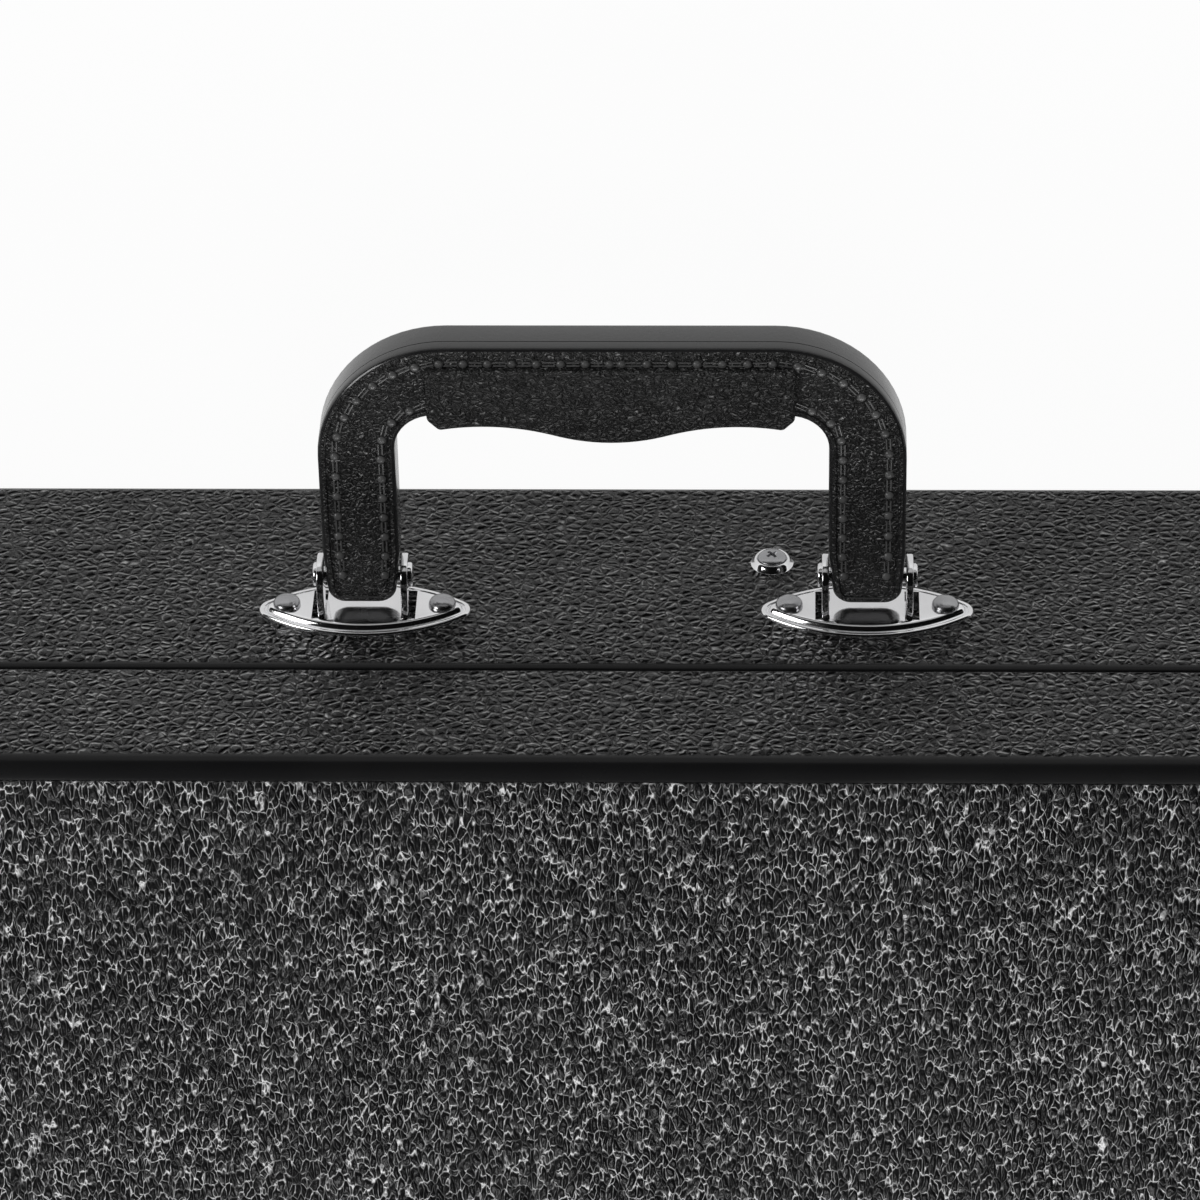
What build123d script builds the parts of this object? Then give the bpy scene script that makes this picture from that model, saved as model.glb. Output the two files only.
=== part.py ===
from build123d import *
import math
import os

# A long rectangular hard case for a bass guitar, lying on its back with the lid up.
# X runs along the case. The handle side faces -Y, the spine with the hinges +Y.
# The origin is the middle of the face that the case lies on.

# Plywood shell
case_length = 1200.0
case_width = 390.0
base_depth = 85.0
lid_depth = 40.0
corner_radius = 28.0
edge_radius = 5.9
base_rim = 1.8
lid_rim = 0.8
seam_gap = 0.3
board = 7.5
panel = 5.5
corner_block = 22.0

# Covering: a band round the sides, and a sheet on the back and on the lid's face
band = 0.9
sheet = 1.2
sheet_inset = 7.0
butt_gap = 0.1

# Lip that stands up inside the lid, and the pile lining
lip = 2.5
lip_rise = 12.0
lip_clearance = 1.0
pile = 2.0
lid_lining_clearance = 3.0

# Inside the case
neck_channel = 96.0
partition = 8.0
partition_height = 60.0
headstock_room = 230.0
cradle_length = 36.0
cradle_height = 58.0
cradle_notch = 72.0
cradle_notch_depth = 40.0
neck_bolster_width = 24.0
neck_bolster_height = 48.0
neck_bolster_stop = 50.0
waist_end_distance = 308.0
waist_length = 230.0
waist_reach = 62.0
bolster_height = 56.0
tail_width = 290.0
tail_thickness = 26.0
tail_hollow = 14.0
bolster_slope = 7.0
lid_pad_end_distance = 315.0
lid_pad_length = 440.0
lid_pad_width = 236.0
lid_pad_thickness = 16.0
lid_pad_slope = 5.0

# Handle plates, their yokes and pins
handle_x = 0.0
handle_z = 60.5
plate_spacing = 129.0
plate_length = 54.5
plate_height = 23.0
plate_rim = 1.3
plate_field = 1.2
plate_field_inset = 2.6
plate_tip = 4.0
plate_rivet_spacing = 40.0
yoke_sheet = 1.4
ear_gap = 19.5
ear_thickness = 2.0
ear_width = 12.0
ear_height = 17.0
ear_clip = 3.4
slot_clearance = 0.2
handle_pin_radius = 2.0
handle_pin_height = 12.0
handle_pin_head = 3.0
handle_pin_head_length = 1.1
running_fit = 0.08

# Handle bow and the grip moulded round its bar
bow_width = 148.0
bow_height = 84.5
bow_thickness = 12.0
bow_outer_corner = 33.0
bow_inner_corner = 10.0
bow_leg = 19.5
bow_bar = 20.5
bow_edge = 1.4
leg_end_width = 17.0
leg_end_height = 7.0
leg_end_clip = 3.0
leg_taper_height = 22.0
grip_length = 92.0
grip_thickness = 17.0
grip_top = 82.3
grip_end = 60.3
grip_swell = 56.6
grip_swell_edge = 58.7
grip_swell_reach = 14.0
grip_edge = 2.4
grip_corner = 3.0

# Screw in a cup washer that holds the cross partition
screw_x = -40.0
screw_z = 38.4
screw_shank = 1.75
screw_head = 3.7
screw_head_rise = 1.1
screw_bite = 12.0
washer_radius = 5.5
washer_height = 2.0
washer_lip = 0.5
recess_width = 1.1
recess_length = 4.0
recess_depth = 1.3

# Toggle latches
latch_end_distance = 100.0
latch_middle_distance = 200.0
latch_drop = 10.0
latch_plate_width = 41.0
latch_plate_length = 41.0
latch_plate_top = 3.0
latch_sheet = 1.2
latch_corner = 3.0
latch_pivot_height = 5.5
latch_ear_gap = 26.0
latch_pin_radius = 1.3
lever_width = 24.4
lever_cheek = 3.2
lever_length = 30.0
lever_slot = 16.4
lever_slot_end = 15.0
lever_lip_radius = 5.0
lever_lip_angle = 55.0
claw_width = 14.0
claw_offset = 9.0
claw_drop = 1.5
claw_barrel = 2.0
hook_reach = 3.1
keeper_width = 30.0
keeper_rise = 6.0
keeper_length = 12.0
keeper_lip = 3.2
hook_gap = 0.3
latch_open_angle = 100.0
claw_turn_ratio = 1.3
latch_fit = 0.1
latch_rivet_spread = 33.6
latch_rivet_low = 27.0
latch_rivet_high = 2.5
keeper_rivet_spread = 22.0

# Lock in one of the latches
lock_latch = 1
lock_distance = 21.5
lock_radius = 4.2
lock_proud = 0.9
lock_depth = 4.5
keyway_width = 1.2
keyway_length = 5.0
keyway_depth = 2.6

# Spine hinges
hinge_end_distance = 150.0
hinge_length = 62.0
hinge_leaf = 21.0
hinge_sheet = 1.2
hinge_knuckle = 3.0
hinge_pin_radius = 1.3
hinge_stand_off = 0.2
hinge_knuckles = 3
knuckle_gap = 0.3
leaf_relief = 0.8
hinge_corner = 4.0
hinge_rivet_spread = 40.0

# Dome feet on the spine
foot_end_distance = 65.0
foot_radius = 10.0
foot_height = 9.0
foot_nail = 1.5
foot_edge_distance = 20.0

# Dome rivets: handle plates, then the smaller ones
big_rivet_head = 3.5
big_rivet_rise = 2.2
big_rivet_shank = 1.6
rivet_head = 2.5
rivet_rise = 1.5

# Sides of the shanks and their bores, of the domed heads and of the small heads
peg_sides = 8
dome_sides = 16
small_head_sides = 8

# Domed heads as shares of their radius and rise, from the seat up
dome_profile = ((1.0, 0.0), (0.78, 0.58), (0.4, 1.0))
small_head_profile = ((1.0, 0.0), (0.56, 1.0))

# Levels and faces that follow from the sizes
case_height = base_depth + lid_depth
seam = base_depth
base_top = seam - seam_gap / 2
lid_low = seam + seam_gap / 2
band_step = sheet - band
floor_top = sheet + panel
lining_top = floor_top + pile
ceiling = case_height - sheet - panel
lip_top = seam + lip_rise
base_wall = band + board
lid_wall = base_wall - lip_clearance
lined_wall = base_wall + lip
room_wall = lined_wall + pile
side_y = case_width / 2
end_x = case_length / 2
latch_pivot_z = seam - latch_drop
latch_end_x = end_x - latch_end_distance
latch_positions = (-latch_end_x, -latch_middle_distance, latch_middle_distance, latch_end_x)
hinge_positions = (hinge_end_distance - end_x, 0.0, end_x - hinge_end_distance)
foot_positions = (foot_end_distance - end_x, end_x - foot_end_distance)
cradle_x = headstock_room - end_x
waist_x = end_x - waist_end_distance
lid_pad_x = end_x - lid_pad_end_distance
neck_bolster_end = screw_x - neck_bolster_stop


def box_between(low, high):
    size = [top - bottom for bottom, top in zip(low, high)]
    return Pos(*low) * Box(*size, align=(Align.MIN, Align.MIN, Align.MIN))


def rounded_block(inset, radius, low, high):
    outline = RectangleRounded(case_length - 2 * inset, case_width - 2 * inset, radius)
    return Pos(0, 0, low) * extrude(outline, high - low)


def clipped_block(inset, clip, low, high):
    outline = Rectangle(case_length - 2 * inset, case_width - 2 * inset)
    return Pos(0, 0, low) * extrude(chamfer(outline.vertices(), clip), high - low)


def eased(block, end, radius):
    # Two flats follow the rounded edge round the bottom (end 0) or the top (end -1) of a block
    face = block.faces().sort_by(Axis.Z)[end]
    block = chamfer(face.edges(), length=(math.sqrt(2) - 1) * radius, length2=radius, reference=face)
    face = block.faces().sort_by(Axis.Z)[end]
    slope = (1 - math.sqrt(0.5)) * radius / math.cos(math.pi / 8)
    return chamfer(face.edges(), length=(2 - math.sqrt(2)) * radius, length2=slope, reference=face)


def inner_clip(clip, depth):
    # The clip of a corner that lies a given depth inside another, at the same distance from its face
    return clip - (2 - math.sqrt(2)) * depth


def low_edges(block):
    return block.faces().sort_by(Axis.Z)[0].edges()


def high_edges(block):
    return block.faces().sort_by(Axis.Z)[-1].edges()


def corner_boxes(x, y, low, high):
    boxes = []
    for side_x in (-1, 1):
        for side_of_y in (-1, 1):
            xs = sorted((side_x * x, side_x * end_x))
            ys = sorted((side_of_y * y, side_of_y * side_y))
            boxes.append(box_between((xs[0], ys[0], low), (xs[1], ys[1], high)))
    return boxes


def turned(solid):
    # The same piece on the far side of the case, turned half round the Z axis
    return solid.rotate(Axis.Z, 180)


def cut_all(solid, tools):
    for tool in tools:
        solid = solid - tool
    return solid


# Places on the handle side and the spine: local X and Y lie on the covering, local Z points outwards
def handle_side(x, z):
    return Plane(origin=(x, -side_y, z), x_dir=(1, 0, 0), z_dir=(0, -1, 0)).location


def spine_side(x, z):
    return Plane(origin=(x, side_y, z), x_dir=(-1, 0, 0), z_dir=(0, 1, 0)).location


# A plane seen along the case: local X points up, local Y outwards from the covering
def handle_section(x, z):
    return Plane(origin=(x, -side_y, z), x_dir=(0, 0, 1), z_dir=(1, 0, 0))


def spine_section(x, z):
    return Plane(origin=(x, side_y, z), x_dir=(0, 0, 1), z_dir=(-1, 0, 0))


def slab(plane, outline, width):
    return extrude(plane * outline, width / 2, both=True)


def rod(radius, low, high):
    return Pos(0, 0, low) * Cylinder(radius, high - low, align=(Align.CENTER, Align.CENTER, Align.MIN))


def peg(radius, low, high):
    return Pos(0, 0, low) * extrude(RegularPolygon(radius, peg_sides), high - low)


def clearing(radius, sides):
    # The outline of a hole with flats, each of which clears a round pin of the radius given
    return RegularPolygon(radius / math.cos(math.pi / sides), sides)


def frustum(low_radius, low, high_radius, high, sides):
    # A cone with flats, drawn from its wide end, and turned over where that is its top
    rise = high - low
    slope = math.atan(abs(low_radius - high_radius) * math.cos(math.pi / sides) / rise)
    outline = RegularPolygon(max(low_radius, high_radius), sides)
    cone = extrude(outline, rise, taper=math.degrees(slope))
    if high_radius > low_radius:
        return Pos(0, 0, high) * mirror(cone, Plane.XY)
    return Pos(0, 0, low) * cone


def ringed(sections, sides):
    # A solid through rings, each given by its radius and its height
    solid = None
    for (low_radius, low), (high_radius, high) in zip(sections, sections[1:]):
        cone = frustum(low_radius, low, high_radius, high, sides)
        solid = cone if solid is None else solid + cone
    return solid


def head(radius, rise, sides, profile):
    return ringed([(share * radius, height * rise) for share, height in profile], sides)


def small_head(place, seat):
    return place * Pos(0, 0, seat) * head(rivet_head, rivet_rise, small_head_sides, small_head_profile)


def bores(places, radius, depth):
    return [place * peg(radius, -depth, band) for place in places]


# Places of the fasteners, from the same sizes as the plates that they hold
def handle_rivet_places():
    places = []
    for side in (-1, 1):
        for end in (-1, 1):
            x = handle_x + side * plate_spacing / 2 + end * plate_rivet_spacing / 2
            places.append(handle_side(x, handle_z))
    return places


def latch_rivet_places():
    places = []
    for x in latch_positions:
        for end in (-1, 1):
            for z in (latch_pivot_z - latch_rivet_low, latch_pivot_z + latch_rivet_high):
                places.append(handle_side(x + end * latch_rivet_spread / 2, z))
    return places


def keeper_rivet_places():
    z = seam + keeper_rise + (keeper_length - latch_sheet) / 2
    return [handle_side(x + end * keeper_rivet_spread / 2, z) for x in latch_positions for end in (-1, 1)]


def hinge_rivet_places(up):
    z = seam + up * (hinge_knuckle + leaf_relief + hinge_leaf / 2)
    return [spine_side(x + end * hinge_rivet_spread / 2, z) for x in hinge_positions for end in (-1, 1)]


def foot_places(up):
    z = foot_edge_distance if up < 0 else case_height - foot_edge_distance
    return [spine_side(x, z) for x in foot_positions]


def screw_bore(depth):
    return bores([handle_side(screw_x, screw_z)], screw_shank, depth)


def base_bores(depth):
    return bores(handle_rivet_places(), big_rivet_shank, depth) + screw_bore(depth)


def foot_bores(up, depth):
    return bores(foot_places(up), foot_nail, depth)


def shell_boards(core, wall, span_x, span_y, low, high, handle_bores, spine_bores):
    handle_board = core & box_between((-span_x, -side_y, low), (span_x, wall - side_y, high))
    spine_board = core & box_between((-span_x, side_y - wall, low), (span_x, side_y, high))
    end_board = core & box_between((-end_x, -span_y, low), (wall - end_x, span_y, high))
    return {
        "handle_board": [cut_all(handle_board, handle_bores)],
        "spine_board": [cut_all(spine_board, spine_bores)],
        "end_boards": [end_board, turned(end_board)],
    }


def base_shell():
    core = rounded_block(band, corner_radius - band, sheet, base_top - band)
    core = chamfer(low_edges(core), edge_radius - band)
    core = chamfer(high_edges(core), inner_clip(base_rim, band))
    span_x = end_x - lined_wall - corner_block
    span_y = side_y - lined_wall - corner_block
    room = clipped_block(lined_wall, corner_block, floor_top, lip_top)
    pieces = shell_boards(core, base_wall, span_x, span_y, floor_top, base_top, base_bores(base_wall),
                          foot_bores(-1, base_wall))
    boxes = corner_boxes(span_x, span_y, floor_top, base_top)
    pieces["corner_posts"] = [(core & box) - room for box in boxes]
    back_panel = core & box_between((-end_x, -side_y, 0), (end_x, side_y, floor_top))

    long_lip = box_between((-span_x, base_wall - side_y, floor_top), (span_x, lined_wall - side_y, lip_top))
    end_lip = box_between((base_wall - end_x, -span_y, floor_top), (lined_wall - end_x, span_y, lip_top))
    long_lips = [long_lip, turned(long_lip)]
    end_lips = [end_lip, turned(end_lip)]

    outer = rounded_block(0, corner_radius, band_step, base_top)
    outer = eased(outer, 0, edge_radius)
    outer = chamfer(high_edges(outer), base_rim)
    sheet_clip = corner_radius - sheet_inset
    covering = outer - core - room - clipped_block(sheet_inset, sheet_clip, 0, sheet)
    covering = cut_all(covering, long_lips + end_lips + base_bores(base_wall) + foot_bores(-1, base_wall))
    back_sheet = clipped_block(sheet_inset + butt_gap, inner_clip(sheet_clip, butt_gap), 0, sheet)

    for name, solids in pieces.items():
        save("base_" + name, solids)
    save("back_panel", [back_panel])
    save("base_side_covering", [covering])
    save("back_covering", [back_sheet])
    save("long_lip_strips", [cut_all(long_lip, screw_bore(lined_wall)), long_lips[1]])
    save("end_lip_strips", end_lips)


def lid_shell():
    core = rounded_block(band, corner_radius - band, lid_low + band, case_height - sheet)
    core = chamfer(high_edges(core), edge_radius - band)
    span_x = end_x - lid_wall - corner_block
    span_y = side_y - lid_wall - corner_block
    room = clipped_block(lid_wall, corner_block, lid_low, ceiling)
    pieces = shell_boards(core, lid_wall, span_x, span_y, lid_low, ceiling, [], foot_bores(1, lid_wall))
    pieces["corner_posts"] = [(core & box) - room for box in corner_boxes(span_x, span_y, lid_low, ceiling)]
    face_panel = core & box_between((-end_x, -side_y, ceiling), (end_x, side_y, case_height))

    outer = rounded_block(0, corner_radius, lid_low, case_height - band_step)
    outer = eased(outer, -1, edge_radius)
    outer = chamfer(low_edges(outer), lid_rim)
    sheet_clip = corner_radius - sheet_inset
    face_hole = clipped_block(sheet_inset, sheet_clip, case_height - sheet, case_height)
    covering = cut_all(outer - core - room - face_hole, foot_bores(1, lid_wall))
    face_sheet = clipped_block(sheet_inset + butt_gap, inner_clip(sheet_clip, butt_gap),
                               case_height - sheet, case_height)
    for name, solids in pieces.items():
        save("lid_" + name, solids)
    save("lid_panel", [face_panel])
    save("lid_side_covering", [covering])
    save("lid_face_covering", [face_sheet])


def linings():
    pile_clip = inner_clip(corner_block, pile)
    floor = clipped_block(lined_wall, corner_block, floor_top, lining_top)
    walls = clipped_block(lined_wall, corner_block, lining_top, lip_top)
    walls = walls - clipped_block(room_wall, pile_clip, lining_top, lip_top)
    span_x = end_x - lined_wall - corner_block
    span_y = side_y - lined_wall - corner_block
    walls = cut_all(walls, corner_boxes(span_x, span_y, base_top - band, lip_top))
    walls = cut_all(walls, screw_bore(room_wall))
    lid_lining_low = lip_top + lid_lining_clearance
    lid_lining = clipped_block(lid_wall, corner_block, lid_lining_low, ceiling)
    lid_lining = lid_lining - clipped_block(lid_wall + pile, pile_clip, lid_lining_low, ceiling - pile)
    save("floor_lining", [floor])
    save("wall_lining", [walls])
    save("lid_lining", [lid_lining])


def soft_top(block, slope):
    return chamfer(high_edges(block), slope)


def partitions():
    wall_y = room_wall - side_y
    top = lining_top + partition_height
    cross = box_between((screw_x - partition / 2, wall_y, lining_top),
                        (screw_x + partition / 2, -neck_channel / 2, top))
    cross = cut_all(soft_top(cross, partition / 4), screw_bore(room_wall + screw_bite))
    long_one = box_between((cradle_x, -neck_channel / 2 - partition, lining_top),
                           (screw_x - partition / 2, -neck_channel / 2, top))
    save("cross_partition", [cross])
    save("long_partition", [soft_top(long_one, partition / 4)])


def neck_cradle():
    wall_y = side_y - room_wall
    top = lining_top + cradle_height
    block = box_between((cradle_x - cradle_length, -wall_y, lining_top), (cradle_x, wall_y, top))
    plane = Plane(origin=(cradle_x - cradle_length / 2, 0, top), x_dir=(0, 1, 0), z_dir=(1, 0, 0))
    straight = cradle_notch_depth - cradle_notch / 2
    notch = Pos(0, -straight) * Circle(cradle_notch / 2) + Rectangle(cradle_notch, 2 * straight)
    save("neck_cradle", [block - slab(plane, notch, cradle_length)])


def bolsters():
    wall_y = side_y - room_wall
    tail_x = end_x - room_wall
    near = neck_channel / 2
    neck = box_between((cradle_x, near, lining_top),
                       (neck_bolster_end, near + neck_bolster_width, lining_top + neck_bolster_height))
    save("neck_bolster", [soft_top(neck, bolster_slope)])

    start = (waist_x - waist_length / 2, wall_y)
    finish = (waist_x + waist_length / 2, wall_y)
    bulge = make_face(Line(finish, start) + ThreePointArc(start, (waist_x, wall_y - waist_reach), finish))
    waist = soft_top(Pos(0, 0, lining_top) * extrude(bulge, bolster_height), bolster_slope)
    save("spine_waist_bolster", [waist])
    save("handle_waist_bolster", [mirror(waist, Plane.XZ)])

    half = tail_width / 2
    inner_x = tail_x - tail_thickness
    hollow = make_face(
        Polyline((inner_x, half), (tail_x, half), (tail_x, -half), (inner_x, -half))
        + ThreePointArc((inner_x, -half), (inner_x + tail_hollow, 0), (inner_x, half))
    )
    tail = Pos(0, 0, lining_top) * extrude(hollow, bolster_height)
    save("tail_bolster", [soft_top(tail, bolster_slope / 2)])


def lid_pad():
    outline = chamfer(Rectangle(lid_pad_length, lid_pad_width).vertices(), corner_radius)
    block = extrude(outline, lid_pad_thickness)
    block = chamfer(low_edges(block), lid_pad_slope)
    save("lid_pad", [Pos(lid_pad_x, 0, ceiling - pile - lid_pad_thickness) * block])


def pointed_oval(inset):
    # Two long arcs that run into the rounded tips
    tip_middle = plate_length / 2 - plate_tip
    rise = plate_height / 2
    radius = (tip_middle ** 2 + rise ** 2 - plate_tip ** 2) / (2 * (rise - plate_tip))
    arc = Circle(radius - inset)
    lens = (Pos(0, radius - rise) * arc) & (Pos(0, rise - radius) * arc)
    return fillet(lens.vertices(), plate_tip - inset)


def handle_plate():
    rim = extrude(pointed_oval(0), plate_rim)
    plate = rim + Pos(0, 0, plate_rim) * extrude(pointed_oval(plate_field_inset), plate_field)
    ear_middle = (ear_gap + ear_thickness) / 2
    reach = ear_gap + 2 * ear_thickness
    strap = Box(reach + 2 * slot_clearance, ear_width + 2 * slot_clearance, 2 * yoke_sheet)
    plate = plate - strap
    for end in (-1, 1):
        slot = Box(ear_thickness + 2 * slot_clearance, ear_width + 2 * slot_clearance, ear_height)
        plate = plate - Pos(end * ear_middle, 0, 0) * slot
        plate = plate - Pos(end * plate_rivet_spacing / 2, 0, 0) * peg(big_rivet_shank, 0, ear_height)
    return plate


def pin_axis(place):
    # Local Z of the result runs along the handle's pin, from the middle of its yoke
    return place * Pos(0, 0, handle_pin_height) * Rot(0, 90, 0)


def handle_yoke():
    # A strap bent into a U: its middle lies under the plate, its ends stand up through the slots
    reach = ear_gap + 2 * ear_thickness
    strap = Box(reach, ear_width, yoke_sheet, align=(Align.CENTER, Align.CENTER, Align.MIN))
    plane = Plane(origin=(0, 0, 0), x_dir=(0, 1, 0), z_dir=(1, 0, 0))
    ear_outline = Pos(0, ear_height / 2) * Rectangle(ear_width, ear_height)
    ear_outline = chamfer(ear_outline.vertices().sort_by(Axis.Y)[-2:], ear_clip)
    yoke = strap
    for end in (-1, 1):
        ear = Pos(end * (ear_gap + ear_thickness) / 2, 0, 0) * slab(plane, ear_outline, ear_thickness)
        yoke = yoke + ear
    return yoke - pin_axis(Pos(0, 0, 0)) * peg(handle_pin_radius, -reach, reach)


def handle_pin():
    half = ear_gap / 2 + ear_thickness
    outline = RegularPolygon(handle_pin_head, dome_sides)
    end = Pos(0, 0, half) * extrude(outline, handle_pin_head_length)
    return peg(handle_pin_radius, -half, half) + end + mirror(end, Plane.XY)


def bow_outline():
    # Seen from the lid: local X along the case, local Y outwards from the covering
    half = bow_width / 2
    leg_middle = plate_spacing / 2
    foot_out = leg_middle + leg_end_width / 2
    foot_in = leg_middle - leg_end_width / 2
    inner = half - bow_leg
    bar_low = bow_height - bow_bar
    right = [(foot_out, leg_end_height), (half, leg_taper_height), (half, bow_height)]
    inside = [(inner, bar_low), (inner, leg_taper_height), (foot_in, leg_end_height)]
    left = [(-x, y) for x, y in reversed(right)]
    left_inside = [(-x, y) for x, y in reversed(inside)]
    outline = make_face(Polyline(*right, *left, *left_inside, *inside, close=True))

    def at(points):
        return [v for v in outline.vertices() if any(math.dist((v.X, v.Y), p) < 0.01 for p in points)]

    feet = [(side * x, leg_end_height) for side in (-1, 1) for x in (foot_out, foot_in)]
    outline = chamfer(at(feet), leg_end_clip)
    outline = fillet(at([(half, bow_height), (-half, bow_height)]), bow_outer_corner)
    return fillet(at([(inner, bar_low), (-inner, bar_low)]), bow_inner_corner)


def grip_outline():
    # The finger side swells in the middle, and runs on into a shallow arch towards each end
    half = grip_length / 2
    corner = half - grip_corner
    swell_end = (grip_swell_reach, grip_swell_edge)
    swell = ThreePointArc((-grip_swell_reach, grip_swell_edge), (0, grip_swell), swell_end)
    arch = TangentArc(swell_end, (corner, grip_end), tangent=swell % 1)
    ends = Polyline((corner, grip_end), (half, grip_end + grip_corner), (half, grip_top),
                    (-half, grip_top), (-half, grip_end + grip_corner), (-corner, grip_end))
    return make_face(swell + arch + ends + mirror(arch, Plane.YZ))


def rims(block):
    # The edges round both flat sides of a slab that lies across Z
    return list(low_edges(block)) + list(high_edges(block))


def handle():
    plane = Plane(origin=(handle_x, -side_y, handle_z), x_dir=(1, 0, 0), z_dir=(0, 0, -1))
    bow = slab(plane, bow_outline(), bow_thickness)
    bow = chamfer(rims(bow), bow_edge)
    grip = slab(plane, grip_outline(), grip_thickness)
    grip = chamfer(rims(grip), grip_edge) - bow

    places = [handle_side(handle_x + side * plate_spacing / 2, handle_z) for side in (-1, 1)]
    for place in places:
        bow = bow - pin_axis(place) * rod(handle_pin_radius + running_fit, -ear_gap / 2, ear_gap / 2)
    save("handle_bow", [bow])
    save("handle_grip", [grip])
    for place, name in zip(places, ("left", "right")):
        save("handle_plate_" + name, [place * handle_plate()])
        save("handle_yoke_" + name, [place * handle_yoke()])
    save("handle_pins", [pin_axis(place) * handle_pin() for place in places])

    seat = plate_rim + plate_field
    button = Pos(0, 0, seat) * head(big_rivet_head, big_rivet_rise, dome_sides, dome_profile)
    rivet = button + peg(big_rivet_shank, -base_wall, seat)
    save("handle_rivets", [place * rivet for place in handle_rivet_places()])


def partition_screw():
    place = handle_side(screw_x, screw_z)
    top = washer_height + screw_head_rise
    seat = [(screw_shank, washer_lip), (screw_head, washer_height)]
    crown = [(share * screw_head, washer_height + height * screw_head_rise)
             for share, height in dome_profile[1:]]
    cup = [(washer_radius, 0), (washer_radius, washer_lip), (screw_head + washer_lip / 2, washer_height)]
    screw = ringed(seat + crown, dome_sides) + peg(screw_shank, -room_wall - screw_bite, washer_lip)
    for turn in (0, 90):
        slot = Box(recess_length, recess_width, recess_depth, align=(Align.CENTER, Align.CENTER, Align.MAX))
        screw = screw - Pos(0, 0, top) * slot.rotate(Axis.Z, turn)
    washer = ringed(cup, dome_sides) - ringed(seat, dome_sides) - peg(screw_shank, 0, washer_lip)
    save("partition_screw", [place * screw])
    save("partition_cup_washer", [place * washer])


def lever_axis(x):
    return Axis((x, -side_y - latch_pivot_height, latch_pivot_z), (1, 0, 0))


def claw_axis(x):
    y = -side_y - latch_pivot_height + claw_drop
    return Axis((x, y, latch_pivot_z - claw_offset), (1, 0, 0))


def latch_plate(x):
    # A stamped plate with two ears, whose pressed pegs carry the lever and leave the claw room between them
    middle = latch_drop - latch_plate_top - latch_plate_length / 2
    outline = chamfer(Rectangle(latch_plate_width, latch_plate_length).vertices(), latch_corner)
    plate = handle_side(x, latch_pivot_z + middle) * extrude(outline, latch_sheet)
    ear_height = latch_pivot_height + lever_cheek
    ear = Pos(0, ear_height / 2) * Rectangle(2 * lever_cheek, ear_height)
    ear = chamfer(ear.vertices().sort_by(Axis.Y)[-2:], lever_cheek / 2)
    inner = lever_width / 2 - latch_sheet - latch_fit
    pivot = peg(latch_pin_radius, inner, latch_ear_gap / 2 + latch_sheet / 2)
    for end in (-1, 1):
        ear_x = x + end * (latch_ear_gap + latch_sheet) / 2
        plate = plate + slab(handle_section(ear_x, latch_pivot_z), ear, latch_sheet)
        place = handle_side(x, latch_pivot_z) * Pos(0, 0, latch_pivot_height) * Rot(0, 90 * end, 0)
        plate = plate + place * pivot
    return plate


def latch_lever(x, locked):
    top = latch_pivot_height + lever_cheek - latch_sheet / 2
    cheek = Pos(0, latch_pivot_height) * Circle(lever_cheek)
    cheek = cheek + Pos(-lever_length / 2, latch_pivot_height) * Rectangle(lever_length, 2 * lever_cheek)
    bore = clearing(latch_pin_radius + latch_fit, peg_sides)
    cheek = cheek - Pos(0, latch_pivot_height) * bore
    cheek = cheek - Pos(-claw_offset, latch_pivot_height - claw_drop) * bore
    bend = math.radians(lever_lip_angle)
    lip_end = (-lever_length - lever_lip_radius * math.sin(bend),
               top + lever_lip_radius * (1 - math.cos(bend)))
    flat = Line((0, top), (-lever_length, top))
    curl = TangentArc((-lever_length, top), lip_end, tangent=(-1, 0))
    lever = slab(handle_section(x, latch_pivot_z), trace(flat + curl, latch_sheet), lever_width)
    for end in (-1, 1):
        cheek_x = x + end * (lever_width - latch_sheet) / 2
        lever = lever + slab(handle_section(cheek_x, latch_pivot_z), cheek, latch_sheet)
    window = Rectangle(lever_slot_end + lever_cheek, 2 * latch_sheet)
    window = Pos((lever_cheek - lever_slot_end) / 2, top) * window
    lever = lever - slab(handle_section(x, latch_pivot_z), window, lever_slot)
    if locked:
        surface = latch_pivot_height + lever_cheek
        place = handle_side(x, latch_pivot_z - lock_distance)
        hole = extrude(clearing(lock_radius + latch_fit, dome_sides), 2 * latch_sheet)
        lever = lever - place * Pos(0, 0, surface - 1.5 * latch_sheet) * hole
    return lever.rotate(lever_axis(x), -latch_open_angle)


def latch_lock(x):
    surface = latch_pivot_height + lever_cheek
    top = surface + lock_proud
    barrel = rod(lock_radius, surface - lock_depth, top)
    keyway = Pos(0, 0, top - keyway_depth / 2) * Box(keyway_width, keyway_length, keyway_depth)
    lock = handle_side(x, latch_pivot_z - lock_distance) * (barrel - keyway)
    return lock.rotate(lever_axis(x), -latch_open_angle)


def latch_claw(x):
    eye = latch_pivot_height - claw_drop
    reach = latch_drop + keeper_rise + keeper_length + hook_gap + latch_sheet
    strap = Pos((reach - claw_offset) / 2, eye) * Rectangle(reach + claw_offset, latch_sheet)
    hook_y = eye + (latch_sheet - hook_reach) / 2
    hook = Pos(reach - latch_sheet / 2, hook_y) * Rectangle(latch_sheet, hook_reach)
    outline = strap + hook + Pos(-claw_offset, eye) * Circle(claw_barrel)
    axle = Pos(-claw_offset, eye) * RegularPolygon(latch_pin_radius, peg_sides)
    plane = handle_section(x, latch_pivot_z)
    claw = slab(plane, outline, claw_width) + slab(plane, axle, lever_width)
    claw = claw.rotate(claw_axis(x), claw_turn_ratio * latch_open_angle)
    return claw.rotate(lever_axis(x), -latch_open_angle)


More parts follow.
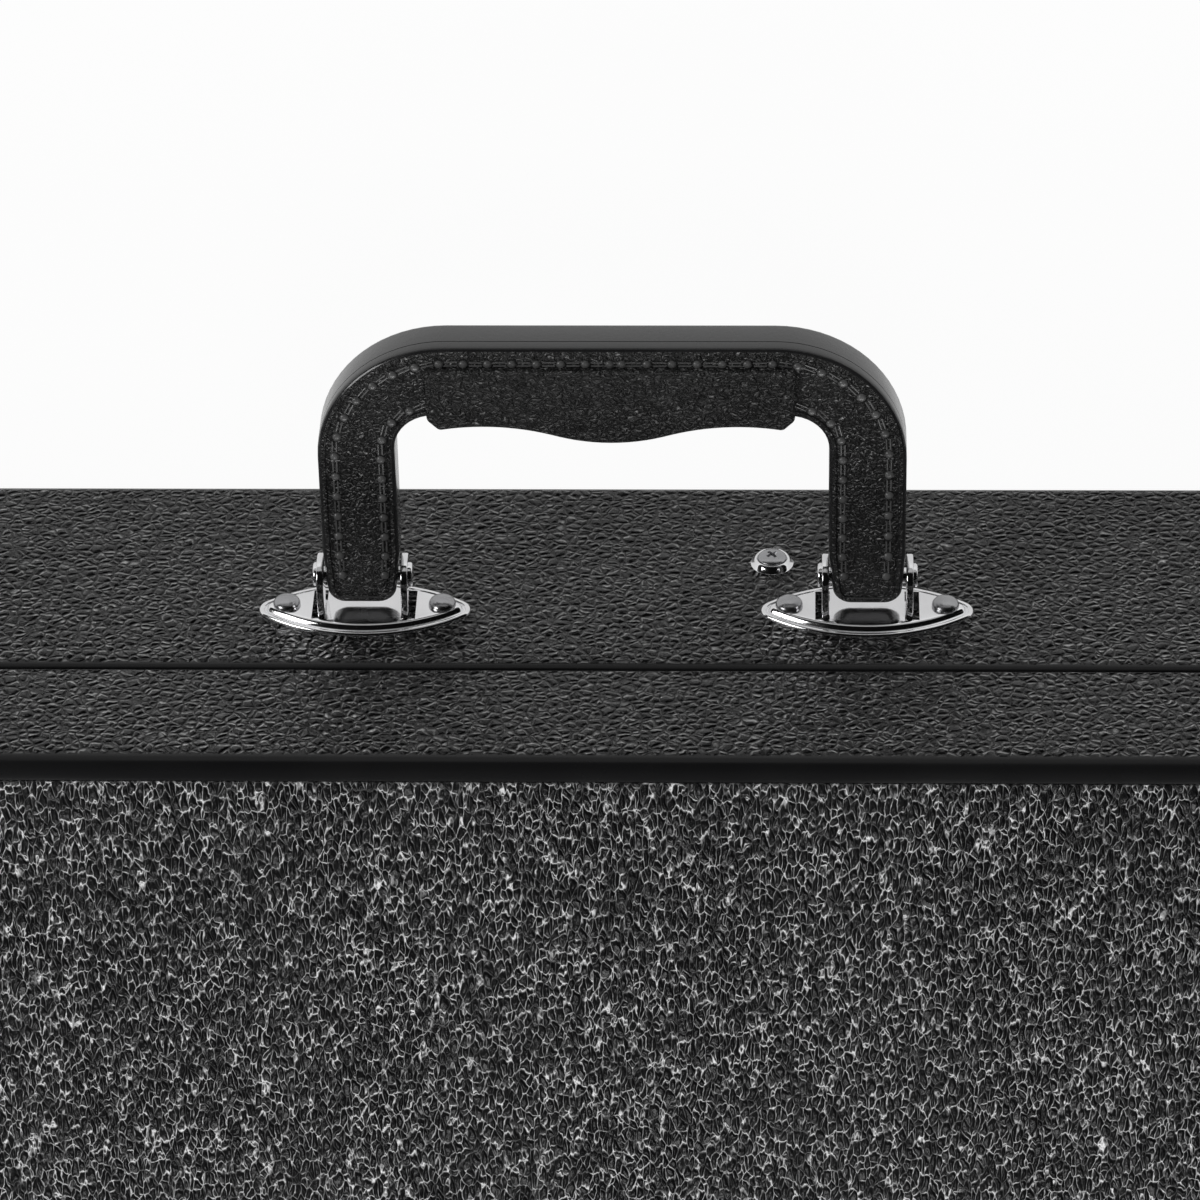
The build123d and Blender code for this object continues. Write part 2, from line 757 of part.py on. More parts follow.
def latch_keeper(x):
    # A plate whose far edge is bent out, for the claw's hook to reach over
    plate = Pos(keeper_length / 2, latch_sheet / 2) * Rectangle(keeper_length, latch_sheet)
    lip_outline = Pos(keeper_length - latch_sheet / 2, keeper_lip / 2) * Rectangle(latch_sheet, keeper_lip)
    return slab(handle_section(x, seam + keeper_rise), plate + lip_outline, keeper_width)


def latches():
    for number, x in enumerate(latch_positions):
        save(f"latch_lever_{number + 1}", [latch_lever(x, number == lock_latch)])
        save(f"latch_claw_{number + 1}", [latch_claw(x)])
    save("latch_plates", [latch_plate(x) for x in latch_positions])
    save("latch_keepers", [latch_keeper(x) for x in latch_positions])
    save("lock_cylinder", [latch_lock(latch_positions[lock_latch])])
    save("latch_rivets", [small_head(place, latch_sheet) for place in latch_rivet_places()])
    save("keeper_rivets", [small_head(place, latch_sheet) for place in keeper_rivet_places()])


def hinge_half(x, up):
    # A leaf with its own knuckles: the base has the outer ones, the lid the one between
    relief = hinge_knuckle + leaf_relief
    outline = Rectangle(hinge_length, hinge_leaf)
    far = outline.vertices().sort_by(Axis.Y)[-2:] if up > 0 else outline.vertices().sort_by(Axis.Y)[:2]
    place = spine_side(x, seam + up * (relief + hinge_leaf / 2))
    half = place * extrude(chamfer(far, hinge_corner), hinge_sheet)
    pitch = hinge_length / hinge_knuckles
    axis_height = hinge_stand_off + hinge_knuckle
    for number in range(hinge_knuckles):
        if (number % 2 == 0) == (up < 0):
            knuckle_x = x + (number + 0.5) * pitch - hinge_length / 2
            tongue = Rectangle(relief, hinge_sheet - hinge_stand_off)
            tongue = Pos(up * relief / 2, (hinge_sheet + hinge_stand_off) / 2) * tongue
            barrel = Circle(hinge_knuckle) if up > 0 else RegularPolygon(hinge_knuckle, dome_sides)
            bore = clearing(hinge_pin_radius + running_fit, peg_sides)
            ring = Pos(0, axis_height) * (barrel - bore) + tongue
            half = half + slab(spine_section(knuckle_x, seam), ring, pitch - knuckle_gap)
    return half


def hinges():
    half = hinge_length / 2
    pin = Pos(0, 0, hinge_stand_off + hinge_knuckle) * Rot(0, 90, 0) * peg(hinge_pin_radius, -half, half)
    save("hinge_pins", [spine_side(x, seam) * pin for x in hinge_positions])
    for up, name in ((-1, "base"), (1, "lid")):
        save("hinge_" + name + "_leaves", [hinge_half(x, up) for x in hinge_positions])
        heads = [small_head(place, hinge_sheet) for place in hinge_rivet_places(up)]
        save("hinge_" + name + "_rivets", heads)


def feet():
    crown = head(foot_radius, foot_height, dome_sides, dome_profile)
    for up, name, depth in ((-1, "base", base_wall), (1, "lid", lid_wall)):
        save(name + "_feet", [place * (crown + peg(foot_nail, -depth, 0)) for place in foot_places(up)])


def save(name, pieces):
    solids = [solid for piece in pieces for solid in piece.solids()]
    export_step(Compound(children=solids) if len(solids) > 1 else solids[0], f"parts/{name}.step")


os.makedirs("parts", exist_ok=True)
base_shell()
lid_shell()
linings()
partitions()
neck_cradle()
bolsters()
lid_pad()
handle()
partition_screw()
latches()
hinges()
feet()
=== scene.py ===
import math
import bpy
from mathutils import Matrix, Vector


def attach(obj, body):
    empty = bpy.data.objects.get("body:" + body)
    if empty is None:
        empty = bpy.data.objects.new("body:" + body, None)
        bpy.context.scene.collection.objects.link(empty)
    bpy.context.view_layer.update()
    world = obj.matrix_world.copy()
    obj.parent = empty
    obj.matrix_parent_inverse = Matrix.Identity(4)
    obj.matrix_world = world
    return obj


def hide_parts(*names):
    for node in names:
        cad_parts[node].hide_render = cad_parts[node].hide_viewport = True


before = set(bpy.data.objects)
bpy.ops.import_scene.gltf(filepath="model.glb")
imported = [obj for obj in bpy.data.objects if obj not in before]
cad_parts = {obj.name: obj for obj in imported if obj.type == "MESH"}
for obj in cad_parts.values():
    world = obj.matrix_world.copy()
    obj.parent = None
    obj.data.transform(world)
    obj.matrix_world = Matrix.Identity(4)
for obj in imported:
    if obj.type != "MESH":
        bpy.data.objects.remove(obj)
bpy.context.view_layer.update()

# Bass guitar case lying on its back. Sizes in the dictionaries are millimetres and degrees.
mm = 0.001

case = {"length": 1200, "width": 390, "height": 125, "corner": 28, "edge": 5.9, "seam": 85}
halfLong = case["length"] / 2
halfWide = case["width"] / 2
mergeWithin = 0.01 * mm


# Picking, shaping and finishing

def turnedBy(degrees, axis):
    return Matrix.Rotation(math.radians(degrees), 4, axis)


def movedBy(x, y, z):
    return Matrix.Translation((x * mm, y * mm, z * mm))


def takeUp(piece):
    bpy.ops.object.select_all(action="DESELECT")
    piece.select_set(True)
    bpy.context.view_layer.objects.active = piece


def everyPart(part):
    return True


def pickParts(piece, kind, test=everyPart):
    # leaves the piece in edit mode with only the parts that pass the test selected
    takeUp(piece)
    mesh = piece.data
    for parts in (mesh.vertices, mesh.edges, mesh.polygons):
        parts.foreach_set("select", [False] * len(parts))
    chosen = [part.index for part in getattr(mesh, kind) if test(part)]
    for index in chosen:
        getattr(mesh, kind)[index].select = True
    bpy.context.tool_settings.mesh_select_mode = [kind == mode for mode in ("vertices", "edges", "polygons")]
    bpy.ops.object.mode_set(mode="EDIT")


def leaveEdit():
    bpy.ops.object.mode_set(mode="OBJECT")


def ends(piece, part):
    return [piece.data.vertices[index].co / mm for index in part.vertices]


def allAt(piece, part, axis, place, slack=0.02):
    return all(abs(point[axis] - place) < slack for point in ends(piece, part))


def isUpright(piece, edge, axis=2):
    first, last = ends(piece, edge)
    run = last - first
    return run.length > 0 and abs(run[axis]) > 0.999 * run.length


def facesTo(face, direction, share=0.9):
    return face.normal.dot(Vector(direction)) > share


def roundEdges(piece, radius, segments, test, profile=0.5):
    pickParts(piece, "edges", test)
    bpy.ops.mesh.bevel(offset=radius * mm, segments=segments, profile=profile)
    leaveEdit()


def cutAcross(piece, axis, level, kind="polygons"):
    # one cut through the whole piece, across an axis
    place, normal = [0, 0, 0], [0, 0, 0]
    place[axis] = level * mm
    normal[axis] = 1
    pickParts(piece, kind)
    bpy.ops.mesh.bisect(plane_co=place, plane_no=normal)
    leaveEdit()


def dropFaces(piece, test):
    pickParts(piece, "polygons", test)
    bpy.ops.mesh.delete(type="FACE")
    leaveEdit()


def bakePlace(piece):
    takeUp(piece)
    bpy.ops.object.transform_apply(location=True, rotation=True, scale=True)


def takeNew(name):
    piece = bpy.context.object
    piece.name = piece.data.name = name
    return piece


def addBlock(name, low, high):
    middle = [(a + b) / 2 * mm for a, b in zip(low, high)]
    bpy.ops.mesh.primitive_cube_add(size=1, location=middle)
    block = takeNew(name)
    block.scale = [(b - a) * mm for a, b in zip(low, high)]
    bakePlace(block)
    return block


def addRod(name, radius, length, middle, sides):
    # a round rod along X
    bpy.ops.mesh.primitive_cylinder_add(vertices=sides, radius=radius * mm, depth=length * mm,
                                        location=[v * mm for v in middle], rotation=(0, math.radians(90), 0))
    rod = takeNew(name)
    bakePlace(rod)
    return rod


def copyNode(node, name):
    piece = bpy.data.objects.new(name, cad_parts[node].data.copy())
    bpy.context.scene.collection.objects.link(piece)
    piece.data.name = name
    takeUp(piece)
    bpy.ops.object.mode_set(mode="EDIT")
    bpy.ops.mesh.select_all(action="SELECT")
    bpy.ops.mesh.remove_doubles(threshold=mergeWithin)
    bpy.ops.mesh.dissolve_limited(angle_limit=math.radians(1))
    leaveEdit()
    return piece


def copyTo(piece, name, matrix):
    twin = piece.copy()
    twin.data = piece.data.copy()
    twin.name = twin.data.name = name
    bpy.context.scene.collection.objects.link(twin)
    twin.data.transform(matrix)
    if matrix.determinant() < 0:
        twin.data.flip_normals()
    return twin


def joined(name, parts):
    bpy.ops.object.select_all(action="DESELECT")
    for part in parts:
        part.select_set(True)
    bpy.context.view_layer.objects.active = parts[0]
    if len(parts) > 1:
        bpy.ops.object.join()
    parts[0].name = parts[0].data.name = name
    return parts[0]


def modified(piece, kind, **values):
    takeUp(piece)
    modifier = piece.modifiers.new(kind.title(), kind)
    for key, value in values.items():
        setattr(modifier, key, value)
    bpy.ops.object.modifier_apply(modifier=modifier.name)
    return piece


def softened(piece, width, segments, angle):
    return modified(piece, "BEVEL", width=width * mm, segments=segments, limit_method="ANGLE",
                    angle_limit=math.radians(angle), harden_normals=False)


def cutAway(piece, tools):
    for tool in tools:
        modified(piece, "BOOLEAN", operation="DIFFERENCE", object=tool, solver="EXACT")
        bpy.data.objects.remove(tool)


def smoothed(piece, angle):
    takeUp(piece)
    bpy.ops.object.shade_smooth_by_angle(angle=math.radians(angle))
    return piece


def finishPiece(piece, body, slot, materials, *replaced):
    if not isinstance(materials, list):
        materials = [materials]
    for index, material in enumerate(materials):
        if index < len(piece.data.materials):
            piece.data.materials[index] = material
        else:
            piece.data.materials.append(material)
    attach(piece, body)
    if replaced:
        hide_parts(*replaced)
    return piece


def dressNode(node, body, slot, material, width, segments=2, angle=40):
    piece = copyNode(node, "dressed_" + node)
    softened(piece, width, segments, angle)
    smoothed(piece, 30)
    return finishPiece(piece, body, slot, material, node)


# Shader groups and materials

def feed(tree, node, takes):
    # each named input gets a value, or a wire from another node's output
    for label, value in takes.items():
        if isinstance(value, bpy.types.NodeSocket):
            tree.links.new(value, node.inputs[label])
        else:
            node.inputs[label].default_value = value


def addNode(tree, kind, place, takes=None, **settings):
    node = tree.nodes.new(kind)
    node.location = place
    for key, value in settings.items():
        setattr(node, key, value)
    feed(tree, node, takes or {})
    return node


def calc(tree, operation, place, *values):
    return addNode(tree, "ShaderNodeMath", place, dict(enumerate(values)), operation=operation).outputs[0]


def calcVector(tree, operation, place, takes):
    return addNode(tree, "ShaderNodeVectorMath", place, takes, operation=operation).outputs[0]


def ramped(tree, place, value, low, high, toLow=0.0, toHigh=1.0):
    takes = {"Value": value, "From Min": low, "From Max": high, "To Min": toLow, "To Max": toHigh}
    node = addNode(tree, "ShaderNodeMapRange", place, takes, interpolation_type="SMOOTHSTEP")
    return node.outputs["Result"]


def noise(tree, place, vector, scale, detail, gives="Fac", **more):
    takes = {"Vector": vector, "Scale": scale, "Detail": detail, **more}
    return addNode(tree, "ShaderNodeTexNoise", place, takes).outputs[gives]


def stretched(tree, place, vector, scale, turn=(0, 0, 0)):
    takes = {"Vector": vector, "Scale": scale, "Rotation": turn}
    return addNode(tree, "ShaderNodeMapping", place, takes).outputs["Vector"]


def edgeOfCells(tree, place, vector, scale):
    takes = {"Vector": vector, "Scale": scale}
    return addNode(tree, "ShaderNodeTexVoronoi", place, takes, feature="DISTANCE_TO_EDGE").outputs["Distance"]


def mixColours(tree, place, factor, first, second):
    # a Mix node's colours are inputs 6 and 7 and output 2
    takes = {0: factor, 6: first, 7: second}
    for slot, value in takes.items():
        if isinstance(value, tuple):
            takes[slot] = (*value, 1.0)
    return addNode(tree, "ShaderNodeMix", place, takes, data_type="RGBA").outputs[2]


def bumped(tree, place, height, depth):
    takes = {"Height": height, "Strength": 1.0, "Distance": depth * mm}
    return addNode(tree, "ShaderNodeBump", place, takes).outputs["Normal"]


def newGroup(name, takes, gives):
    # an input without a number is a vector, and every output is a plain value
    group = bpy.data.node_groups.new(name, "ShaderNodeTree")
    for label, value in takes.items():
        kind = "NodeSocketVector" if value is None else "NodeSocketFloat"
        socket = group.interface.new_socket(name=label, in_out="INPUT", socket_type=kind)
        if value is not None:
            socket.default_value = value
    for label in gives:
        group.interface.new_socket(name=label, in_out="OUTPUT", socket_type="NodeSocketFloat")
    given = addNode(group, "NodeGroupInput", (-1200, 0)).outputs
    return group, given, addNode(group, "NodeGroupOutput", (900, 0))


def useGroup(tree, group, place, vector, takes):
    return addNode(tree, "ShaderNodeGroup", place, {"Vector": vector, **takes}, node_tree=group).outputs


def makeLeatherGroup():
    # pressed leather grain: wandering cells with creases between them, and fine pores on top
    group, given, finish = newGroup(
        "leatherGrain", {"Vector": None, "Cells": 240.0, "Wander": 0.5, "Crease": 0.16, "Pores": 0.25,
                         "Painted Crest Shift": None}, ("Height", "Crease", "Painted Crest", "Patches"))
    place, count = given["Vector"], given["Cells"]
    driftCount = calc(group, "MULTIPLY", (-1100, -350), count, 0.6)
    drift = noise(group, (-950, -200), place, driftCount, 2.0, "Color")
    centred = calcVector(group, "SUBTRACT", (-770, -200), {0: drift, 1: (0.5, 0.5, 0.5)})
    share = calc(group, "DIVIDE", (-770, -420), given["Wander"], count)
    reach = calc(group, "MULTIPLY", (-600, -420), share, 4.0)
    sized = calcVector(group, "SCALE", (-600, -200), {0: centred, "Scale": reach})
    moved = calcVector(group, "ADD", (-430, -60), {0: place, 1: sized})
    distance = edgeOfCells(group, (-240, 120), moved, count)
    crease = ramped(group, (0, 120), distance, 0.0, given["Crease"])

    # painted crests: a thin band inside each cell, along the side the shift points to; the materials colour
    # it as a painted highlight where the cell's edge would catch the light
    cell = calc(group, "DIVIDE", (-770, 300), 1.0, count)
    across = calcVector(group, "SCALE", (-600, 300), {0: given["Painted Crest Shift"], "Scale": cell})
    beside = calcVector(group, "ADD", (-430, 300), {0: moved, 1: across})
    paintedCrestBand = ramped(group, (0, 620), edgeOfCells(group, (-240, 620), beside, count), 0.03, 0.13, 1.0, 0.0)
    fading = noise(group, (-240, 900), place, calc(group, "MULTIPLY", (-430, 900), count, 0.8), 2.0)
    shown = ramped(group, (0, 900), fading, 0.36, 0.62, 0.12, 1.0)
    paintedCrest = calc(group, "MULTIPLY", (240, 520), paintedCrestBand, crease)

    crown = calc(group, "MULTIPLY", (180, -200), ramped(group, (0, -140), distance, 0.0, 0.42), 0.45)
    fine = calc(group, "MULTIPLY", (-430, -460), count, 4.5)
    pores = noise(group, (-240, -400), place, fine, 3.0, Roughness=0.6)
    small = calc(group, "MULTIPLY", (0, -400), pores, given["Pores"])
    body = calc(group, "MULTIPLY_ADD", (240, 0), crease, 0.55, crown)
    vein = calc(group, "SUBTRACT", (240, 200), 1.0, crease)
    patches = noise(group, (-240, 420), place, 22.0, 3.0)
    feed(group, finish, {
        "Height": calc(group, "ADD", (460, 0), body, small),
        "Crease": calc(group, "MULTIPLY", (460, 200), vein, shown),
        "Painted Crest": calc(group, "MULTIPLY", (460, 520), paintedCrest, shown),
        "Patches": ramped(group, (0, 420), patches, 0.3, 0.7)})
    return group


def makeMarksGroup():
    # rubbed haze and fine scratches, for the roughness and the tone of any finish
    group, given, finish = newGroup("handlingMarks", {"Vector": None, "Size": 60.0}, ("Haze", "Scratches"))
    haze = noise(group, (-700, 200), given["Vector"], given["Size"], 4.0)
    along = stretched(group, (-900, -360), given["Vector"], (1.0, 18.0, 18.0), (0.0, 0.3, 0.2))
    lines = noise(group, (-700, -360), along, 40.0, 5.0)
    feed(group, finish, {"Haze": ramped(group, (-400, 200), haze, 0.35, 0.7),
                         "Scratches": ramped(group, (-400, -360), lines, 0.56, 0.72)})
    return group


def makePileGroup():
    # short brushed pile: fibre ends, and strokes where a hand has passed
    group, given, finish = newGroup("brushedPile", {"Vector": None, "Fibres": 1500.0}, ("Height", "Strokes"))
    fibres = noise(group, (-700, 100), given["Vector"], given["Fibres"], 3.0, Roughness=0.7)
    strokes = noise(group, (-700, -250), given["Vector"], 14.0, 4.0, Distortion=1.2)
    feed(group, finish, {"Height": fibres, "Strokes": ramped(group, (-400, -250), strokes, 0.38, 0.66)})
    return group


leatherGroup = makeLeatherGroup()
marksGroup = makeMarksGroup()
pileGroup = makePileGroup()


def newMaterial(name, takes):
    material = bpy.data.materials.new(name)
    material.use_nodes = True
    tree = material.node_tree
    shader = tree.nodes["Principled BSDF"]
    feed(tree, shader, takes)
    return material, tree, shader, addNode(tree, "ShaderNodeTexCoord", (-1500, 0)).outputs["Object"]


def scaled(tone, share):
    return tuple(value * share for value in tone)


def grainedVinyl(name, look):
    # look: tones, cell size and stretch, crease width, bump depth and roughness
    material, tree, shader, place = newMaterial(name, {"Specular IOR Level": look["gloss"]})
    grain = useGroup(tree, leatherGroup, (-1050, 0), stretched(tree, (-1300, 0), place, look["stretch"]), {
        "Cells": 1 / (look["cell"] * mm), "Wander": look["wander"], "Crease": look["crease"],
        "Pores": look["pores"], "Painted Crest Shift": look["paintedCrestShift"]})
    haze = useGroup(tree, marksGroup, (-1050, -350), place, {"Size": 45.0})["Haze"]
    relief, creases, paintedCrests = (grain[label] for label in ("Height", "Crease", "Painted Crest"))
    if "flatFrom" in look:
        # the sheet is stretched smooth where it turns round an edge
        surface = addNode(tree, "ShaderNodeNewGeometry", (-1300, 420)).outputs["Normal"]
        parted = addNode(tree, "ShaderNodeSeparateXYZ", (-1100, 420), {0: surface}).outputs["Z"]
        upright = calc(tree, "ABSOLUTE", (-950, 420), parted)
        flatFrom = look["flatFrom"]
        kept = ramped(tree, (-820, 420), upright, flatFrom, flatFrom + look["flatOver"], 1.0, 0.0)
        relief = calc(tree, "MULTIPLY", (-600, 420), relief, kept)
        creases = calc(tree, "MULTIPLY", (-600, 320), creases, kept)
        paintedCrests = calc(tree, "MULTIPLY", (-600, 220), paintedCrests, kept)
    # the creases get a painted tone: painted shade in them on the sides, handle and grip, a painted highlight
    # along them on the lid face
    tone = mixColours(tree, (-700, 200), creases, look["tone"], look["paintedCreaseTone"])
    veil = calc(tree, "MULTIPLY", (-700, -200), haze, look["haze"])
    tone = mixColours(tree, (-450, 200), veil, tone, look["hazeTone"])
    dulled = calc(tree, "MULTIPLY", (-700, -60), creases, 0.12)
    rough = ramped(tree, (-700, 0), grain["Patches"], 0.0, 1.0, *look["rough"])
    # the crest band's colour is a painted highlight on the sides, handle and grip, and nearly the sheet's own
    # tone on the lid face
    feed(tree, shader, {"Base Color": mixColours(tree, (-250, 200), paintedCrests, tone, look["paintedCrestTone"]),
                        "Roughness": calc(tree, "ADD", (-450, 0), rough, dulled),
                        "Normal": bumped(tree, (-300, -200), relief, look["depth"])})
    return material


def smoothVinyl(name, tone, rough):
    # the pressed edge band: no cells, only pores and handling
    material, tree, shader, place = newMaterial(name, {"Coat Weight": 0.6, "Coat Roughness": 0.08})
    haze = useGroup(tree, marksGroup, (-1050, 0), place, {"Size": 55.0})["Haze"]
    pores = noise(tree, (-800, -250), place, 900.0, 3.0)
    feed(tree, shader, {"Base Color": mixColours(tree, (-500, 200), haze, tone, scaled(tone, 1.5)),
                        "Roughness": ramped(tree, (-500, 0), haze, 0.0, 1.0, rough, rough + 0.12),
                        "Normal": bumped(tree, (-300, -250), pores, 0.05)})
    return material


def wornMetal(name, tone, rough, scratch=0.12, brushed=False):
    material, tree, shader, place = newMaterial(name, {"Metallic": 1.0})
    marks = useGroup(tree, marksGroup, (-1050, 0), place, {"Size": 90.0})
    veil = calc(tree, "MULTIPLY", (-800, 200), marks["Haze"], 0.5)
    worn = calc(tree, "MULTIPLY", (-800, -60), marks["Scratches"], scratch)
    hazy = calc(tree, "MULTIPLY_ADD", (-650, -60), marks["Haze"], 0.06, rough)
    relief, depth = marks["Haze"], 0.01
    if brushed:
        along = stretched(tree, (-1050, -350), place, (1.0, 40.0, 40.0))
        relief, depth = noise(tree, (-800, -350), along, 60.0, 4.0), 0.012
    feed(tree, shader, {"Base Color": mixColours(tree, (-500, 200), veil, tone, scaled(tone, 0.86)),
                        "Roughness": calc(tree, "ADD", (-450, -60), hazy, worn),
                        "Normal": bumped(tree, (-300, -300), relief, depth)})
    return material


def brushedPile(name, tone, tip):
    material, tree, shader, place = newMaterial(
        name, {"Specular IOR Level": 0.15, "Sheen Weight": 0.35, "Sheen Roughness": 0.4})
    pile = useGroup(tree, pileGroup, (-1050, 0), place, {"Fibres": 1300.0})
    shade = mixColours(tree, (-600, 200), pile["Strokes"], tone, tip)
    # darker where the fibre bump is low: painted shade between the fibre ends
    raised = calc(tree, "MULTIPLY", (-600, 0), pile["Height"], 0.6)
    feed(tree, shader, {"Base Color": mixColours(tree, (-400, 200), raised, scaled(tone, 0.6), shade),
                        "Roughness": ramped(tree, (-400, 0), pile["Strokes"], 0.0, 1.0, 0.82, 0.96),
                        "Normal": bumped(tree, (-300, -250), pile["Height"], 0.6)})
    return material


def makePlywood(name):
    material, tree, shader, place = newMaterial(name, {})
    grain = noise(tree, (-1000, 0), stretched(tree, (-1250, 0), place, (1.0, 9.0, 9.0)), 26.0, 6.0)
    plies = addNode(tree, "ShaderNodeTexWave", (-1000, -300), {"Vector": place, "Scale": 110.0},
                    bands_direction="Z").outputs["Fac"]
    shade = mixColours(tree, (-700, 200), grain, (0.42, 0.28, 0.15), (0.66, 0.5, 0.31))
    glue = calc(tree, "MULTIPLY", (-800, -100), plies, 0.3)
    feed(tree, shader, {"Base Color": mixColours(tree, (-450, 200), glue, shade, (0.34, 0.22, 0.12)),
                        "Roughness": ramped(tree, (-450, 0), grain, 0.3, 0.7, 0.55, 0.72),
                        "Normal": bumped(tree, (-300, -250), grain, 0.12)})
    return material


# the side sheet: painted shade in its creases and a bright painted highlight along one side of each cell
sideVinyl = grainedVinyl("sideVinyl", {
    "tone": (0.01, 0.01, 0.0105), "paintedCreaseTone": (0.002, 0.002, 0.002), "hazeTone": (0.022, 0.022, 0.022),
    "paintedCrestTone": (0.95, 0.95, 0.95), "paintedCrestShift": (0, 0, -0.24), "haze": 0.15, "cell": 2.3,
    "stretch": (0.85, 1.0, 1.0), "wander": 0.25, "crease": 0.18, "pores": 0.08, "depth": 2.5,
    "rough": (0.2, 0.27), "gloss": 0.4, "flatFrom": 0.08, "flatOver": 0.3})
# the lid face: a painted highlight along the creases, and the crest band nearly the sheet's own tone
faceVinyl = grainedVinyl("faceVinyl", {
    "tone": (0.007, 0.007, 0.0075), "paintedCreaseTone": (0.95, 0.95, 0.955), "hazeTone": (0.028, 0.028, 0.028),
    "paintedCrestTone": (0.006, 0.006, 0.006), "paintedCrestShift": (0, 0.2, 0), "haze": 0.15, "cell": 1.8,
    "stretch": (1.1, 0.45, 1.0), "wander": 0.4, "crease": 0.115, "pores": 0.15, "depth": 1.2,
    "rough": (0.26, 0.34), "gloss": 0.28})
# the handle's faces: painted shade in the creases and a painted highlight along one side of each cell
handleVinyl = grainedVinyl("handleVinyl", {
    "tone": (0.022, 0.022, 0.022), "paintedCreaseTone": (0.004, 0.004, 0.004), "hazeTone": (0.035, 0.035, 0.035),
    "paintedCrestTone": (0.45, 0.45, 0.45), "paintedCrestShift": (0, -0.22, 0), "haze": 0.3, "cell": 1.25,
    "stretch": (1.0, 1.0, 1.0), "wander": 0.5, "crease": 0.2, "pores": 0.2, "depth": 1.1,
    "rough": (0.24, 0.34), "gloss": 0.55})
# the grip: painted shade in the creases and a painted highlight along one side of each cell
gripVinyl = grainedVinyl("gripVinyl", {
    "tone": (0.018, 0.018, 0.018), "paintedCreaseTone": (0.005, 0.005, 0.005), "hazeTone": (0.028, 0.028, 0.028),
    "paintedCrestTone": (0.25, 0.25, 0.25), "paintedCrestShift": (0, -0.22, 0), "haze": 0.3, "cell": 1.3,
    "stretch": (0.75, 1.0, 1.0), "wander": 0.5, "crease": 0.2, "pores": 0.2, "depth": 1.0,
    "rough": (0.28, 0.38), "gloss": 0.5})
bandVinyl = smoothVinyl("bandVinyl", (0.014, 0.014, 0.0145), 0.2)
threadBlack = smoothVinyl("threadBlack", (0.075, 0.075, 0.075), 0.4)
threadGrey = smoothVinyl("threadGrey", (0.3, 0.3, 0.31), 0.6)
chrome = wornMetal("brightPlate", (0.93, 0.93, 0.94), 0.08)
rivetSteel = wornMetal("rivetSteel", (0.42, 0.42, 0.43), 0.24, 0.2)
steel = wornMetal("plainSteel", (0.55, 0.55, 0.56), 0.26, 0.16, brushed=True)
brass = wornMetal("turnedBrass", (0.7, 0.56, 0.3), 0.22, 0.16, brushed=True)
pileBlack = brushedPile("pileBlack", (0.05, 0.05, 0.055), (0.11, 0.11, 0.12))
padCloth = brushedPile("padCloth", (0.1, 0.1, 0.108), (0.2, 0.2, 0.215))
plywood = makePlywood("plywood")
print("materials ready")


# Camera, floor and light

view = {"lens": 174.45, "sensor": 36.0, "aboveSide": 35.479, "yaw": 2.018, "roll": 0.139,
        "distance": 1500, "aimedAt": (0, -195, 52), "slide": (-4.29, -1.66), "farthest": 30000}
turned = turnedBy(view["aboveSide"], "X") @ turnedBy(180, "Z")
turned = turned @ turnedBy(view["yaw"], "Y") @ turnedBy(view["roll"], "Z")
rightward, upward, backward = (turned.col[axis].to_3d() for axis in range(3))
eye = Vector(view["aimedAt"]) + backward * view["distance"]
eye += rightward * view["slide"][0] + upward * view["slide"][1]
bpy.ops.object.camera_add(location=eye * mm, rotation=turned.to_euler())
camera = bpy.context.object
camera.name = "photoCamera"
camera.data.lens = view["lens"]
camera.data.sensor_width = view["sensor"]
camera.data.clip_end = view["farthest"] * mm
bpy.context.scene.camera = camera
bpy.context.scene.view_settings.view_transform = "Standard"

floorLook = {"size": 14000, "white": 0.8, "glow": 0.96, "glossGlow": 0.52}
lampLook = {
    "farPanel": {"place": (0, 1500, 1500), "size": (2400, 1100), "power": 42},
    "leftPanel": {"place": (1700, -900, 1300), "size": (900, 900), "power": 14},
    "frontPanel": {"place": (0, -2200, 500), "size": (3000, 900), "power": 3.2},
    "topPanel": {"place": (-300, -200, 2300), "size": (1500, 1500), "power": 16, "mirrored": False},
}
lampAim = (0, -100, 60)
worldLook = {"light": 0.3, "background": 1.0, "gloss": 0.06}


def makeFloor(look):
    bpy.ops.mesh.primitive_plane_add(size=look["size"] * mm, location=(0, 0, 0))
    floor = bpy.context.object
    floor.name = floor.data.name = "studioFloor"
    white = (look["white"], look["white"], look["white"], 1.0)
    material, tree, shader = newMaterial(
        "paleFloor", {"Base Color": white, "Roughness": 0.9, "Specular IOR Level": 0.1})[:3]
    # the camera and mirrors see it nearly white, with the shadow kept
    glow = addNode(tree, "ShaderNodeEmission", (0, -200)).outputs[0]
    rays = addNode(tree, "ShaderNodeLightPath", (-600, -100)).outputs
    seen = calc(tree, "MULTIPLY", (-350, 0), rays["Is Camera Ray"], look["glow"])
    mirrored = calc(tree, "MAXIMUM", (-350, -200), rays["Is Glossy Ray"], rays["Is Transmission Ray"])
    mirrored = calc(tree, "MULTIPLY", (-200, -200), mirrored, look["glossGlow"])
    share = calc(tree, "MAXIMUM", (-50, 0), seen, mirrored)
    mix = addNode(tree, "ShaderNodeMixShader", (200, 0), {0: share, 1: shader.outputs[0], 2: glow})
    feed(tree, tree.nodes["Material Output"], {"Surface": mix.outputs[0]})
    floor.data.materials.append(material)


